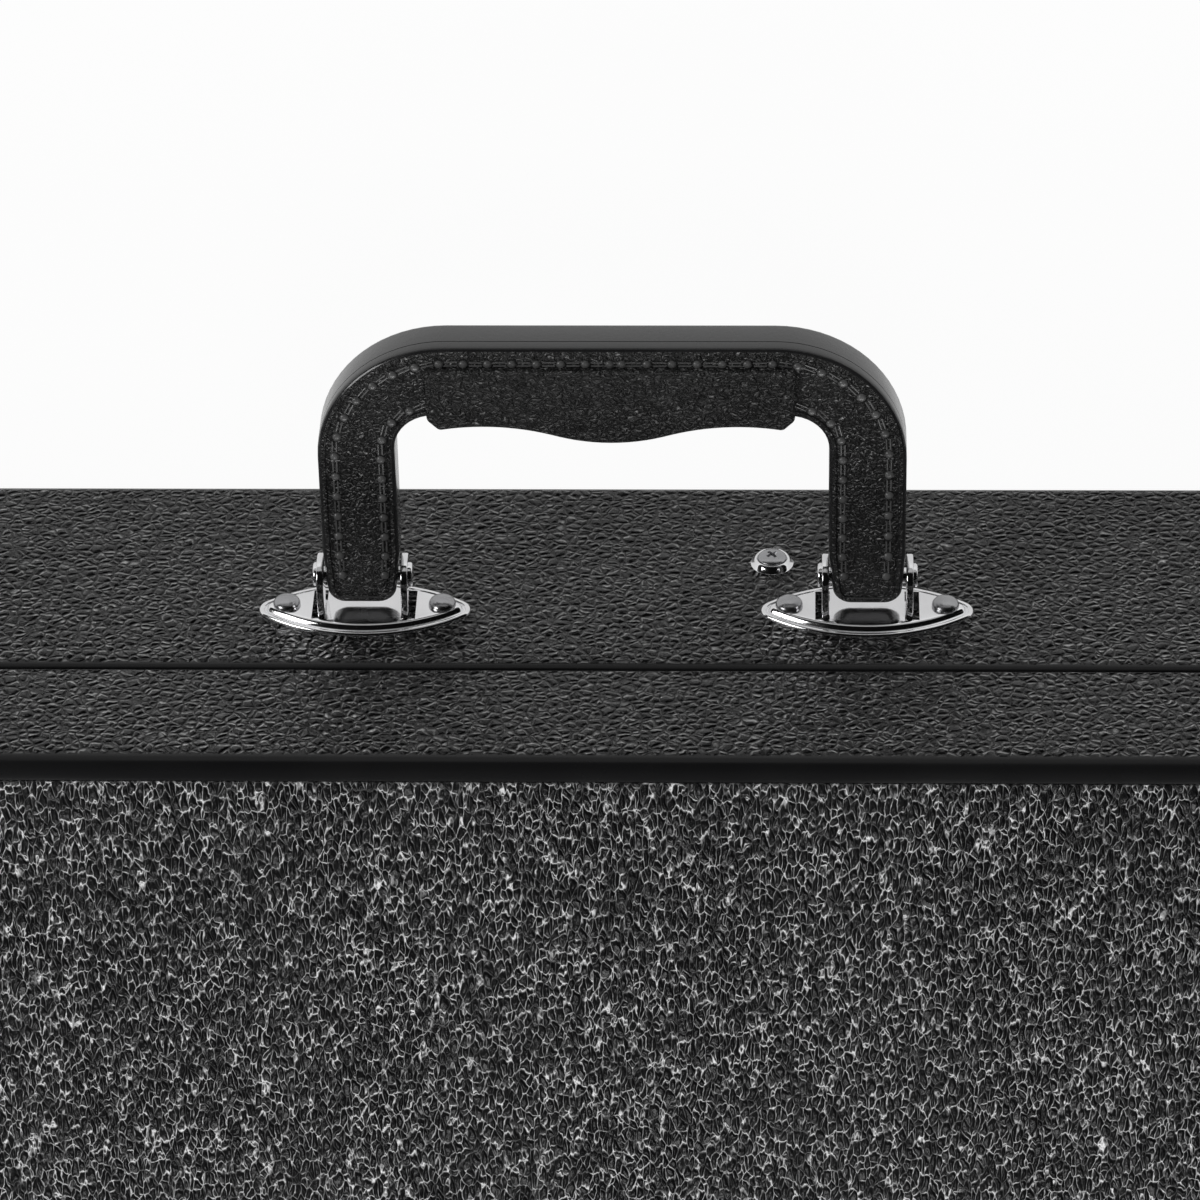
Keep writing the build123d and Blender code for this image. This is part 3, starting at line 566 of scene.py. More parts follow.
def makeLamp(name, look):
    bpy.ops.object.light_add(type="AREA", location=[v * mm for v in look["place"]])
    lamp = bpy.context.object
    lamp.name = name
    lamp.data.shape = "RECTANGLE"
    lamp.data.size, lamp.data.size_y = (v * mm for v in look["size"])
    lamp.data.energy = look["power"]
    lamp.rotation_euler = (Vector(lampAim) - Vector(look["place"])).to_track_quat("-Z", "Y").to_euler()
    lamp.visible_glossy = look.get("mirrored", True)


def makeWorld(look):
    world = bpy.data.worlds.new("studioWorld")
    bpy.context.scene.world = world
    world.use_nodes = True
    tree = world.node_tree
    rays = addNode(tree, "ShaderNodeLightPath", (-700, 200)).outputs
    dimmed = look["gloss"] - look["light"]
    level = calc(tree, "MULTIPLY_ADD", (-200, 200), rays["Is Glossy Ray"], dimmed, look["light"])
    seen = calc(tree, "MULTIPLY", (-400, 0), rays["Is Camera Ray"], look["background"])
    feed(tree, tree.nodes["Background"], {"Strength": calc(tree, "MAXIMUM", (0, 100), level, seen)})


makeFloor(floorLook)
for name, look in lampLook.items():
    makeLamp(name, look)
makeWorld(worldLook)
print("camera, floor and light ready")


# Coverings of the base and the lid: grained sheet wrapped round the sides and over the rims

seamGap = 0.3
baseCover = {"outer": 0.3, "open": case["seam"] - seamGap / 2, "rim": 3.8, "wall": 8.4, "sheetInset": 7.0,
             "thickness": 0.85}
lidCover = {"outer": case["height"] - 0.3, "open": case["seam"] + seamGap / 2, "rim": 0.9, "wall": 7.4,
            "sheetInset": 7.0, "thickness": 0.85}
faceSheet = {"inset": 7.1, "lap": 5.9, "rim": 0.28, "thick": 1.2, "easing": 0.22}


def wrapCovering(name, look, node, body):
    low, high = sorted((look["outer"], look["open"]))
    cover = addBlock(name, (-halfLong, -halfWide, low), (halfLong, halfWide, high))
    roundEdges(cover, case["corner"], 16, lambda edge: isUpright(cover, edge))
    roundEdges(cover, case["edge"], 7, lambda edge: allAt(cover, edge, 2, look["outer"]))
    roundEdges(cover, look["rim"], 4, lambda edge: allAt(cover, edge, 2, look["open"]))
    openings = ((look["outer"], look["sheetInset"] - case["edge"]),
                (look["open"], look["wall"] - look["rim"]))
    for level, inset in openings:
        pickParts(cover, "polygons", lambda face: allAt(cover, face, 2, level))
        bpy.ops.mesh.inset(thickness=inset * mm)
        bpy.ops.mesh.delete(type="FACE")
        leaveEdit()
    modified(cover, "SOLIDIFY", thickness=look["thickness"] * mm, offset=-1, use_even_offset=True)
    smoothed(cover, 40)
    return finishPiece(cover, body, "vinyl_side", sideVinyl, node)


def layFaceSheet(name, node, body, outer, up, look):
    # the sheet fills the opening of the wrapped covering, and its thin rim lies on the covering's turned edge
    inset, lap = look["inset"], look["lap"]
    under, inner = outer - up * look["thick"], outer - up * look["rim"]
    low, high = sorted((under, inner))
    sheet = addBlock(name, (inset - halfLong, inset - halfWide, low),
                     (halfLong - inset, halfWide - inset, high))
    roundEdges(sheet, case["corner"] - inset, 12, lambda edge: isUpright(sheet, edge))
    pickParts(sheet, "polygons", lambda face: allAt(sheet, face, 2, inner))
    bpy.ops.mesh.extrude_region_move()
    spread = ((halfLong - lap) / (halfLong - inset), (halfWide - lap) / (halfWide - inset), 1)
    bpy.ops.transform.resize(value=spread, center_override=(0, 0, inner * mm))
    bpy.ops.mesh.extrude_region_move(TRANSFORM_OT_translate={"value": (0, 0, up * look["rim"] * mm)})
    leaveEdit()
    roundEdges(sheet, look["easing"], 2, lambda edge: allAt(sheet, edge, 2, outer))
    smoothed(sheet, 40)
    return finishPiece(sheet, body, "vinyl_face", faceVinyl, node)


wrapCovering("baseCovering", baseCover, "base_side_covering", "base")
wrapCovering("lidCovering", lidCover, "lid_side_covering", "lid")
layFaceSheet("backSheet", "back_covering", "base", 0, -1, faceSheet)
layFaceSheet("lidSheet", "lid_face_covering", "lid", case["height"], 1, faceSheet)
print("coverings ready")


# Handle: stitched bow with a smooth edge band, and the grip moulded round its bar

bow = {"middle": 60.5, "thick": 12, "halfWidth": 74, "height": 84.5, "leg": 19.5, "bar": 20.5,
       "taperFrom": 22, "legEnd": 7, "legEndWidth": 17, "legLean": 0.25, "plateSpacing": 129,
       "outerCorner": 33, "innerCorner": 10, "legCorner": 4.2, "rim": 1.5, "pinHeight": 12, "pinBore": 2.1,
       "borer": 30, "partingAt": 2.35, "parting": 0.25, "partingDeep": 0.3}
# width and rise of each step from the rim to the grained face
bowSteps = ((0.35, 0), (0.25, -0.35), (0.7, 0.3), (0.9, 0.2))
grip = {"halfLength": 46, "thick": 16.6, "top": 79.3, "corner": 3, "swell": 14, "swellLow": 56.6,
        "swellRadius": 47.7, "archMiddle": 31.87, "archLow": 0.48, "archRadius": 60.9, "round": 3.2,
        "cuts": 40, "blankLow": 60, "easing": 0.7}
stitch = {"inset": 4.4, "innerInset": 3.5, "pitch": 6.1, "bump": 1.2, "bumpRise": 0.75, "line": 3.2,
          "lineGap": 0.48, "lineRadius": 0.24, "lowest": 16, "taper": 15, "proud": 0.1,
          "meet": 3, "innerStop": 60}


def out(height):
    # a height above the handle side's covering, as a Y coordinate
    return -halfWide - height


def makeBow(look):
    middle, half = look["middle"], look["thick"] / 2
    low, high = middle - half, middle + half
    inner = look["halfWidth"] - look["leg"]
    barHeight = look["height"] - look["bar"]
    piece = addBlock("handleBow", (-look["halfWidth"], out(look["height"]), low),
                     (look["halfWidth"], out(barHeight), high))
    for side in (-1, 1):
        cutAcross(piece, 0, side * inner)
    for side in (-1, 1):
        pickParts(piece, "polygons", lambda face: facesTo(face, (0, 1, 0)) and
                  all(side * point.x > inner - 0.1 for point in ends(piece, face)))
        fall, taper = barHeight - look["taperFrom"], look["taperFrom"] - look["legEnd"]
        bpy.ops.mesh.extrude_region_move(TRANSFORM_OT_translate={"value": (0, fall * mm, 0)})
        bpy.ops.mesh.extrude_region_move(
            TRANSFORM_OT_translate={"value": (side * look["legLean"] * mm, taper * mm, 0)})
        legEnd = [v * mm for v in (side * look["plateSpacing"] / 2, out(look["legEnd"]), middle)]
        bpy.ops.transform.resize(value=(look["legEndWidth"] / look["leg"], 1, 1), center_override=legEnd)
        leaveEdit()
    pickParts(piece, "polygons")
    bpy.ops.mesh.dissolve_limited(angle_limit=math.radians(0.5))
    leaveEdit()

    def cornerAt(edge, x, height, slack=0.4):
        return isUpright(piece, edge) and all(
            abs(abs(point.x) - x) < slack and abs(point.y - out(height)) < slack
            for point in ends(piece, edge))

    roundEdges(piece, look["outerCorner"], 18, lambda edge: cornerAt(edge, look["halfWidth"], look["height"]))
    roundEdges(piece, look["innerCorner"], 10, lambda edge: cornerAt(edge, inner, barHeight))
    roundEdges(piece, look["legCorner"], 6,
               lambda edge: isUpright(piece, edge) and allAt(piece, edge, 1, out(look["legEnd"])))

    # rounded rims, a step in to the grained faces, and a slight pillow
    for level in (low, high):
        roundEdges(piece, look["rim"], 4,
                   lambda edge: allAt(piece, edge, 2, level) and onOutline(piece, edge, level))
    pickParts(piece, "polygons", lambda face: allAt(piece, face, 2, low) or allAt(piece, face, 2, high))
    for inward, rise in bowSteps:
        bpy.ops.mesh.inset(thickness=inward * mm, depth=rise * mm)
    bpy.ops.mesh.quads_convert_to_tris(quad_method="BEAUTY", ngon_method="BEAUTY")
    leaveEdit()
    pickParts(piece, "polygons")
    bpy.ops.mesh.dissolve_degenerate(threshold=mergeWithin)
    leaveEdit()

    # the band's parting line
    parting = middle + look["partingAt"]
    partingEnd = parting + look["parting"]
    for level in (parting, partingEnd):
        cutAcross(piece, 2, level)
    pickParts(piece, "polygons", lambda face: all(parting - 0.05 < point.z < partingEnd + 0.05
                                                  for point in ends(piece, face)))
    bpy.ops.mesh.extrude_region_shrink_fatten(TRANSFORM_OT_shrink_fatten={"value": -look["partingDeep"] * mm})
    leaveEdit()

    cutAway(piece, [addRod("bore", look["pinBore"], look["borer"],
                           (side * look["plateSpacing"] / 2, out(look["pinHeight"]), middle), 24)
                    for side in (-1, 1)])
    piece.data.materials.append(bandVinyl)
    piece.data.materials.append(handleVinyl)
    for face in piece.data.polygons:
        atFace = abs(face.center.z / mm - middle) > half - 0.5
        face.material_index = 1 if atFace and abs(face.normal.z) > 0.9 else 0
    smoothed(piece, 35)
    return finishPiece(piece, "handle", "handle_leather", [bandVinyl, handleVinyl], "handle_bow")


def onOutline(piece, edge, level):
    # only one of the edge's two faces is the flat one at this level
    flats = [face for face in piece.data.polygons
             if set(edge.vertices) <= set(face.vertices) and allAt(piece, face, 2, level)]
    return len(flats) == 1


def gripLow(look, x):
    # the finger side's outline: a swell in the middle that runs into an arch and a slanted corner
    x = abs(x)
    straight = look["halfLength"] - look["corner"]
    if x < look["swell"]:
        return look["swellLow"] + look["swellRadius"] - math.sqrt(look["swellRadius"] ** 2 - x ** 2)
    arch = look["archLow"] + math.sqrt(look["archRadius"] ** 2 - (min(x, straight) - look["archMiddle"]) ** 2)
    return arch + max(0, x - straight)


def makeGrip(look):
    rims = (bow["middle"] - look["thick"] / 2, bow["middle"] + look["thick"] / 2)
    piece = addBlock("handleGrip", (-look["halfLength"], out(look["top"]), rims[0]),
                     (look["halfLength"], out(look["blankLow"]), rims[1]))
    straight = look["halfLength"] - look["corner"]
    halfCuts = look["cuts"] // 2
    for place in [-straight, straight] + [straight * (n / halfCuts - 1) for n in range(1, look["cuts"])]:
        cutAcross(piece, 0, place)
    for vertex in piece.data.vertices:
        if vertex.co.y > out(look["blankLow"] + 2) * mm:
            vertex.co.y = out(gripLow(look, vertex.co.x / mm)) * mm

    def onFingerRim(edge):
        first, last = ends(piece, edge)
        below = min(first.y, last.y) > out(look["top"] - 1)
        return below and abs(first.x - last.x) > 0.01 and any(allAt(piece, edge, 2, rim) for rim in rims)

    roundEdges(piece, look["round"], 6, onFingerRim)
    softened(piece, look["easing"], 3, 40)
    smoothed(piece, 50)
    return finishPiece(piece, "handle", "grip_rubber", gripVinyl, "handle_grip")


def rowPoints(corner, radius, x, top, stop, side):
    # places and headings at even steps: up a leg, round its corner and along the bar as far as stop
    places = []
    first = stitch["lowest"]
    legRun = corner[1] - first
    arcRun = radius * math.pi / 2
    total = legRun + arcRun + max(0, corner[0] - stop)
    steps = max(1, round(total / stitch["pitch"]))
    for step in range(steps + 1):
        run = total * step / steps
        if run <= legRun:
            taper = max(0, (bow["taperFrom"] - first - run) / stitch["taper"])
            places.append((x + taper * (-1 if x > corner[0] + 20 else 1), first + run, 90))
        elif run <= legRun + arcRun:
            angle = (run - legRun) / radius
            places.append((corner[0] + radius * math.cos(angle), corner[1] + radius * math.sin(angle),
                           90 + math.degrees(angle)))
        else:
            places.append((corner[0] - (run - legRun - arcRun), top, 180))
    return [(side * px, py, heading if side > 0 else 180 - heading) for px, py, heading in places]


def stitchRows(look):
    # an outer and an inner row on each half: the outer ones meet in the middle of the bar
    inner = bow["halfWidth"] - bow["leg"]
    barHeight = bow["height"] - bow["bar"]
    rows = []
    for side in (-1, 1):
        corner = (bow["halfWidth"] - bow["outerCorner"], bow["height"] - bow["outerCorner"])
        rows.append(rowPoints(corner, bow["outerCorner"] - look["inset"], bow["halfWidth"] - look["inset"],
                              bow["height"] - look["inset"], 0 if side > 0 else look["meet"], side))
        corner = (inner - bow["innerCorner"], barHeight - bow["innerCorner"])
        rows.append(rowPoints(corner, bow["innerCorner"] + look["innerInset"], inner + look["innerInset"],
                              barHeight + look["inset"], look["innerStop"], side))
    return rows


def makeStitches(look):
    # one stitch: a pressed bump and a pair of fine lines that run to the next
    bpy.ops.mesh.primitive_uv_sphere_add(segments=10, ring_count=6, radius=look["bump"] * mm)
    bump = bpy.context.object
    bump.scale = (1, 1, look["bumpRise"] / look["bump"])
    bakePlace(bump)
    lines = [addRod("line", look["lineRadius"], look["line"], (look["pitch"] / 2, across, 0.05), 6)
             for across in (-look["lineGap"], look["lineGap"])]
    master = joined("stitchMaster", [bump] + lines)
    places = [place for row in stitchRows(look) for place in row
              if abs(place[0]) >= grip["halfLength"] + 1 or place[1] >= grip["top"]]
    mirrored = Matrix.Scale(-1, 4, (0, 1, 0))
    for face, name in ((1, "stitchesFront"), (-1, "stitchesBack")):
        level = bow["middle"] + face * (bow["thick"] / 2 + look["proud"])
        flip = Matrix.Identity(4) if face > 0 else turnedBy(180, "X")
        row = joined(name, [copyTo(master, "stitch", movedBy(x, out(height), level) @ mirrored
                                   @ turnedBy(heading, "Z") @ flip) for x, height, heading in places])
        smoothed(row, 60)
        finishPiece(row, "handle", "handle_leather", threadBlack)
    bpy.data.objects.remove(master)


makeBow(bow)
makeGrip(grip)
makeStitches(stitch)
print("handle ready")


# Handle plates: pointed ovals with a rolled bead, a groove and a raised field, slotted for the yoke's ears

plate = {"x": 64.5, "z": 60.5, "length": 54.5, "height": 23, "tip": 4, "thick": 0.85, "slotHalf": 6.2,
         "earInner": 9.75, "earOuter": 11.75, "slotOut": 13.3, "slotPlay": 0.15, "slotLow": -5,
         "slotHigh": 8, "rivetAt": 20}
# width and rise of each step of the bead, the groove and the field
plateSteps = ((0.22, 0.4), (0.3, 0.18), (0.4, 0.0), (0.3, -0.18), (0.25, -0.45), (0.4, 0.0),
              (0.35, 0.75), (0.3, 0.5), (0.4, 0.3), (0.6, 0.12))
ear = {"width": 12, "height": 17, "corner": 5.2, "thick": 1.8, "strap": 1.3, "play": 0.1, "easing": 0.35}
pin = {"radius": 2.0, "height": 12, "headRadius": 3.1, "headRise": 1.15, "headEdge": 0.85}
dome = {"radius": 3.5, "rise": 2.3, "seat": 2.5, "sides": 32, "rim": 0.35}


def onSide(x, z):
    # from a piece drawn on the table, X along and Z up, to its place on the handle side
    return movedBy(x, -halfWide, z) @ turnedBy(90, "X")


def onSpine(x, z):
    return movedBy(x, halfWide, z) @ turnedBy(180, "Z") @ turnedBy(90, "X")


def drawOval(name, look):
    # a round disc whose rim is moved onto two long arcs and the tips' small ones
    tip, tipMiddle, rise = look["tip"], look["length"] / 2 - look["tip"], look["height"] / 2
    radius = (tipMiddle ** 2 + rise ** 2 - tip ** 2) / (2 * (rise - tip))
    lean, half = math.atan2(radius - rise, tipMiddle), math.pi
    arcs = (((tipMiddle, 0), tip, -lean, lean, 12), ((0, rise - radius), radius, lean, half - lean, 28),
            ((-tipMiddle, 0), tip, half - lean, half + lean, 12),
            ((0, radius - rise), radius, half + lean, 2 * half - lean, 28))
    places = []
    for middle, reach, first, last, steps in arcs:
        for step in range(steps):
            angle = first + (last - first) * step / steps
            places.append((middle[0] + reach * math.cos(angle), middle[1] + reach * math.sin(angle)))
    bpy.ops.mesh.primitive_circle_add(vertices=len(places), radius=20 * mm, fill_type="NGON")
    piece = takeNew(name)
    rim = sorted(piece.data.vertices, key=lambda vertex: math.atan2(vertex.co.y, vertex.co.x) % (2 * math.pi))
    for vertex, (x, y) in zip(rim, places):
        vertex.co = (x * mm, y * mm, 0)
    return piece


def makePlate(look):
    piece = drawOval("plateMaster", look)
    pickParts(piece, "polygons")
    bpy.ops.mesh.extrude_region_move(TRANSFORM_OT_translate={"value": (0, 0, look["thick"] * mm)})
    bpy.ops.mesh.select_all(action="SELECT")
    bpy.ops.mesh.normals_make_consistent(inside=False)
    leaveEdit()
    pickParts(piece, "polygons", lambda face: facesTo(face, (0, 0, 1)) and len(face.vertices) > 20)
    for inward, rise in plateSteps:
        bpy.ops.mesh.inset(thickness=inward * mm, depth=rise * mm)
    leaveEdit()
    pickParts(piece, "polygons", lambda face: len(face.vertices) > 4)
    bpy.ops.mesh.quads_convert_to_tris(quad_method="BEAUTY", ngon_method="BEAUTY")
    leaveEdit()
    slots = []
    for side in (-1, 1):
        xs = sorted((side * (look["earInner"] - look["slotPlay"]), side * look["slotOut"]))
        slots.append(addBlock("slot", (xs[0], -look["slotHalf"], look["slotLow"]),
                              (xs[1], look["slotHalf"], look["slotHigh"])))
    cutAway(piece, slots)
    return smoothed(piece, 42)


def makeYoke():
    parts = []
    play, halfWidth = ear["play"], ear["width"] / 2
    for side in (-1, 1):
        inner = plate["earInner"] + play
        xs = sorted((side * inner, side * (inner + ear["thick"])))
        tab = addBlock("ear", (xs[0], -halfWidth, play), (xs[1], halfWidth, ear["height"]))
        roundEdges(tab, ear["corner"], 10,
                   lambda edge: isUpright(tab, edge, 0) and allAt(tab, edge, 2, ear["height"]))
        parts.append(tab)
    parts.append(addBlock("strap", (-plate["earOuter"], -halfWidth, play),
                          (plate["earOuter"], halfWidth, ear["strap"])))
    for part in parts:
        softened(part, ear["easing"], 3, 50)
        smoothed(part, 50)
    return joined("yokeMaster", parts)


def makePin():
    reach = plate["earInner"] + ear["thick"] + ear["play"]
    parts = [addRod("shank", pin["radius"], 2 * reach + 0.4, (0, 0, pin["height"]), 24)]
    for side in (-1, 1):
        middle = (side * (reach + pin["headRise"] / 2), 0, pin["height"])
        head = addRod("head", pin["headRadius"], pin["headRise"], middle, 28)
        outer = side * (reach + pin["headRise"])
        roundEdges(head, pin["headEdge"], 4, lambda edge: allAt(head, edge, 0, outer), 0.6)
        parts.append(head)
    return smoothed(joined("pinMaster", parts), 45)


def makeDome(name, look):
    # a pressed head: the upper half of a sphere, flattened, with a short straight rim
    radius, rim = look["radius"], look["rim"]
    bpy.ops.mesh.primitive_uv_sphere_add(segments=look["sides"], ring_count=16, radius=radius * mm)
    piece = takeNew(name)
    pickParts(piece, "polygons")
    bpy.ops.mesh.bisect(plane_co=(0, 0, 0), plane_no=(0, 0, 1), clear_inner=True)
    bpy.ops.mesh.select_all(action="SELECT")
    bpy.ops.transform.resize(value=(1, 1, (look["rise"] - rim) / radius), center_override=(0, 0, 0))
    leaveEdit()
    pickParts(piece, "edges", lambda edge: allAt(piece, edge, 2, 0))
    bpy.ops.mesh.extrude_edges_move(TRANSFORM_OT_translate={"value": (0, 0, -rim * mm)})
    bpy.ops.mesh.edge_face_add()
    bpy.ops.mesh.select_all(action="SELECT")
    bpy.ops.mesh.normals_make_consistent(inside=False)
    leaveEdit()
    piece.data.transform(movedBy(0, 0, look["seat"] + rim))
    return smoothed(piece, 50)


def placeCopies(master, name, places, body, slot, material, *replaced):
    piece = joined(name, [copyTo(master, name, place) for place in places])
    return finishPiece(piece, body, slot, material, *replaced)


plateMaster, yokeMaster, pinMaster = makePlate(plate), makeYoke(), makePin()
rivetMaster = makeDome("rivetMaster", dome)
plateX = {"left": -plate["x"], "right": plate["x"]}
for label, x in plateX.items():
    here = [onSide(x, plate["z"])]
    placeCopies(plateMaster, "handlePlate_" + label, here, "base", "chrome_plate", chrome,
                "handle_plate_" + label)
    placeCopies(yokeMaster, "yoke_" + label, here, "base", "plain_steel", chrome, "handle_yoke_" + label)
bothSides = [onSide(x, plate["z"]) for x in plateX.values()]
placeCopies(pinMaster, "handlePins", bothSides, "base", "plain_steel", chrome, "handle_pins")
rivetPlaces = [onSide(x + end * plate["rivetAt"], plate["z"]) for x in plateX.values() for end in (-1, 1)]
placeCopies(rivetMaster, "handleRivets", rivetPlaces, "base", "chrome_plate", rivetSteel, "handle_rivets")
for master in (plateMaster, yokeMaster, pinMaster, rivetMaster):
    bpy.data.objects.remove(master)
print("handle plates ready")


# Screw with a crossed recess, in its cup washer

screw = {"x": -40, "z": 38.4, "head": 3.7, "rise": 1.1, "seat": 2.0, "arm": 4.0, "armWidth": 1.05,
         "deep": 1.2, "turn": 38, "steps": 40, "narrowing": 0.6, "easing": 0.08}
washer = {"radius": 5.5, "lip": 0.45, "paintedCrest": 4.5, "height": 2.05, "bore": 1.9}


def spinProfile(name, points, steps):
    # a profile of radius and height, spun once round Z
    bpy.ops.mesh.primitive_plane_add(size=1 * mm, location=(points[0][0] * mm, 0, points[0][1] * mm))
    piece = takeNew(name)
    bakePlace(piece)
    pickParts(piece, "vertices")
    bpy.ops.mesh.merge(type="CENTER")
    for (radius, height), (nextRadius, nextHeight) in zip(points, points[1:]):
        bpy.ops.mesh.extrude_vertices_move(
            TRANSFORM_OT_translate={"value": ((nextRadius - radius) * mm, 0, (nextHeight - height) * mm)})
    bpy.ops.mesh.select_all(action="SELECT")
    bpy.ops.mesh.spin(steps=steps, angle=2 * math.pi, center=(0, 0, 0), axis=(0, 0, 1))
    bpy.ops.mesh.select_all(action="SELECT")
    bpy.ops.mesh.remove_doubles(threshold=mergeWithin)
    bpy.ops.mesh.normals_make_consistent(inside=False)
    leaveEdit()
    return piece


def makeScrew(look, cup):
    bore, radius, paintedCrest, height = cup["bore"], cup["radius"], cup["paintedCrest"], cup["height"]
    ring = spinProfile("cupWasher", (
        (bore, 0.4), (radius, 0), (radius + 0.05, 0.3), (radius - 0.15, cup["lip"]), (paintedCrest + 0.25, 1.35),
        (paintedCrest - 0.1, height - 0.15), (paintedCrest - 0.4, height), (look["head"] + 0.05, height - 0.2), (bore, 0.6),
        (bore, 0.4)), look["steps"])
    wide, seat, top = look["head"], look["seat"], look["seat"] + look["rise"]
    head = spinProfile("crossScrew", (
        (0, 0.7), (1.75, 0.7), (wide - 0.1, seat - 0.15), (wide, seat + 0.1), (wide * 0.86, seat + 0.62),
        (wide * 0.55, seat + 0.95), (0, top)), look["steps"])
    arms = []
    for length, width in ((look["arm"] / 2, look["armWidth"] / 2), (look["armWidth"] / 2, look["arm"] / 2)):
        arm = addBlock("arm", (-length, -width, top - look["deep"]), (length, width, top + 1))
        pickParts(arm, "polygons", lambda face: facesTo(face, (0, 0, -1)))
        bpy.ops.transform.resize(value=(look["narrowing"], look["narrowing"], 1), center_override=(0, 0, 0))
        leaveEdit()
        arms.append(arm)
    cutAway(head, arms)
    softened(head, look["easing"], 2, 40)
    dressed = ((ring, chrome, "partition_cup_washer"), (head, rivetSteel, "partition_screw"))
    for piece, material, node in dressed:
        smoothed(piece, 35)
        piece.data.transform(onSide(look["x"], look["z"]) @ turnedBy(look["turn"], "Z"))
        finishPiece(piece, "base", "chrome_plate", material, node)


makeScrew(screw, washer)
print("screw ready")


# Latches, hinges, feet and their rivets

latch = {"places": (-500, -200, 200, 500), "rivetReach": 16.8, "rivetHeights": (48, 77.5), "keeperReach": 11,
         "keeperHeight": 96.4}
hinge = {"places": (-450, 0, 450), "rivetReach": 20, "rivetRise": 14.3, "pin": 1.25, "length": 62,
         "out": 3.2, "easing": 0.3}
foot = {"places": (-535, 535), "fromEdge": 20, "radius": 10, "rise": 9, "seat": 0, "sides": 36, "rim": 1.6}
smallRivet = {"radius": 2.5, "rise": 1.5, "seat": 1.2, "sides": 20, "rim": 0.2}
bothEnds = (-1, 1)

dressNode("latch_plates", "base", "chrome_plate", chrome, 0.3, 3)
dressNode("latch_keepers", "lid", "chrome_plate", chrome, 0.3, 3)
for number in range(1, 5):
    dressNode(f"latch_lever_{number}", f"latch_{number}_lever", "chrome_plate", chrome, 0.25)
    dressNode(f"latch_claw_{number}", f"latch_{number}_claw", "plain_steel", steel, 0.25)
dressNode("lock_cylinder", "lock", "lock_brass", brass, 0.2)
dressNode("hinge_base_leaves", "base", "chrome_plate", chrome, 0.25)
dressNode("hinge_lid_leaves", "lid", "chrome_plate", chrome, 0.25)


def hingeRow(up):
    return [onSpine(x + end * hinge["rivetReach"], case["seam"] + up * hinge["rivetRise"])
            for x in hinge["places"] for end in bothEnds]


rivetRows = {
    "latch_rivets": ("base", [onSide(x + end * latch["rivetReach"], z) for x in latch["places"]
                              for end in bothEnds for z in latch["rivetHeights"]]),
    "keeper_rivets": ("lid", [onSide(x + end * latch["keeperReach"], latch["keeperHeight"])
                              for x in latch["places"] for end in bothEnds]),
    "hinge_base_rivets": ("base", hingeRow(-1)),
    "hinge_lid_rivets": ("lid", hingeRow(1)),
}
smallMaster = makeDome("smallMaster", smallRivet)
for node, (body, places) in rivetRows.items():
    placeCopies(smallMaster, "heads_" + node, places, body, "chrome_plate", rivetSteel, node)
pinShank = addRod("pinMaster", hinge["pin"], hinge["length"], (0, 0, hinge["out"]), 20)
softened(pinShank, hinge["easing"], 2, 40)
smoothed(pinShank, 40)
pinPlaces = [onSpine(x, case["seam"]) for x in hinge["places"]]
placeCopies(pinShank, "hingePins", pinPlaces, "base", "plain_steel", steel, "hinge_pins")
footMaster = makeDome("footMaster", foot)
for body, height in (("base", foot["fromEdge"]), ("lid", case["height"] - foot["fromEdge"])):
    feet = [onSpine(x, height) for x in foot["places"]]
    placeCopies(footMaster, "feet_" + body, feet, body, "chrome_plate", chrome, body + "_feet")
for master in (smallMaster, pinShank, footMaster):
    bpy.data.objects.remove(master)
print("latches, hinges and feet ready")


# Inside: pile linings, partitions and wood

lining = {"low": 8.7, "top": 97, "longReach": 589.1, "wideReach": 184.1, "clip": 22, "thick": 1.7,
          "levels": (22, 36, 50, 64), "cornerTop": 82.2, "upperLevel": 92, "easing": 0.6, "drop": 0.25,
          "wave": 0.45, "waveScale": 0.07, "step": 23}
lidLining = {"low": 100, "top": 118.3, "longReach": 592.6, "wideReach": 187.6, "clip": 22,
             "fold": 3.5, "thick": 1.7}
woodNodes = ("back_panel", "lid_panel", "base_handle_board", "base_spine_board", "base_end_boards",
             "base_corner_posts", "lid_handle_board", "lid_spine_board", "lid_end_boards", "lid_corner_posts",
             "long_lip_strips", "end_lip_strips")
thread = {"length": 3.6, "width": 0.9, "rise": 0.45, "pitch": 6.0, "lift": 0.12, "clear": 1.5}


def cutEvenly(piece, axis, low, high, step):
    count = max(2, round((high - low) / step))
    for number in range(1, count):
        cutAcross(piece, axis, low + (high - low) * number / count)


def gridded(sheet, look):
    # evenly meshed both ways, so that it can bend
    for axis, reach in enumerate((look["longReach"], look["wideReach"])):
        cutEvenly(sheet, axis, -reach, reach, lining["step"])


def waved(piece, look):
    # glued cloth is never quite flat
    if "wave" not in bpy.data.textures:
        bpy.data.textures.new("wave", "CLOUDS").noise_scale = look["waveScale"]
    return modified(piece, "DISPLACE", texture=bpy.data.textures["wave"], strength=look["wave"] * mm,
                    mid_level=0.5, texture_coords="LOCAL")


def liningBlock(name, look):
    shell = addBlock(name, (-look["longReach"], -look["wideReach"], look["low"]),
                     (look["longReach"], look["wideReach"], look["top"]))
    roundEdges(shell, look["clip"], 1, lambda edge: isUpright(shell, edge))
    return shell


def thickened(piece, thick):
    modified(piece, "SOLIDIFY", thickness=thick * mm, offset=-1, use_even_offset=True)
    return smoothed(piece, 35)


def makeFloorLining(look):
    sheet = liningBlock("floorLining", look)
    dropFaces(sheet, lambda face: not facesTo(face, (0, 0, -1)))
    gridded(sheet, look)
    sheet.data.flip_normals()
    sheet.data.transform(movedBy(0, 0, -lining["drop"]))
    waved(sheet, look)
    thickened(sheet, look["thick"])
    finishPiece(sheet, "base", "pile_lining", pileBlack, "floor_lining")


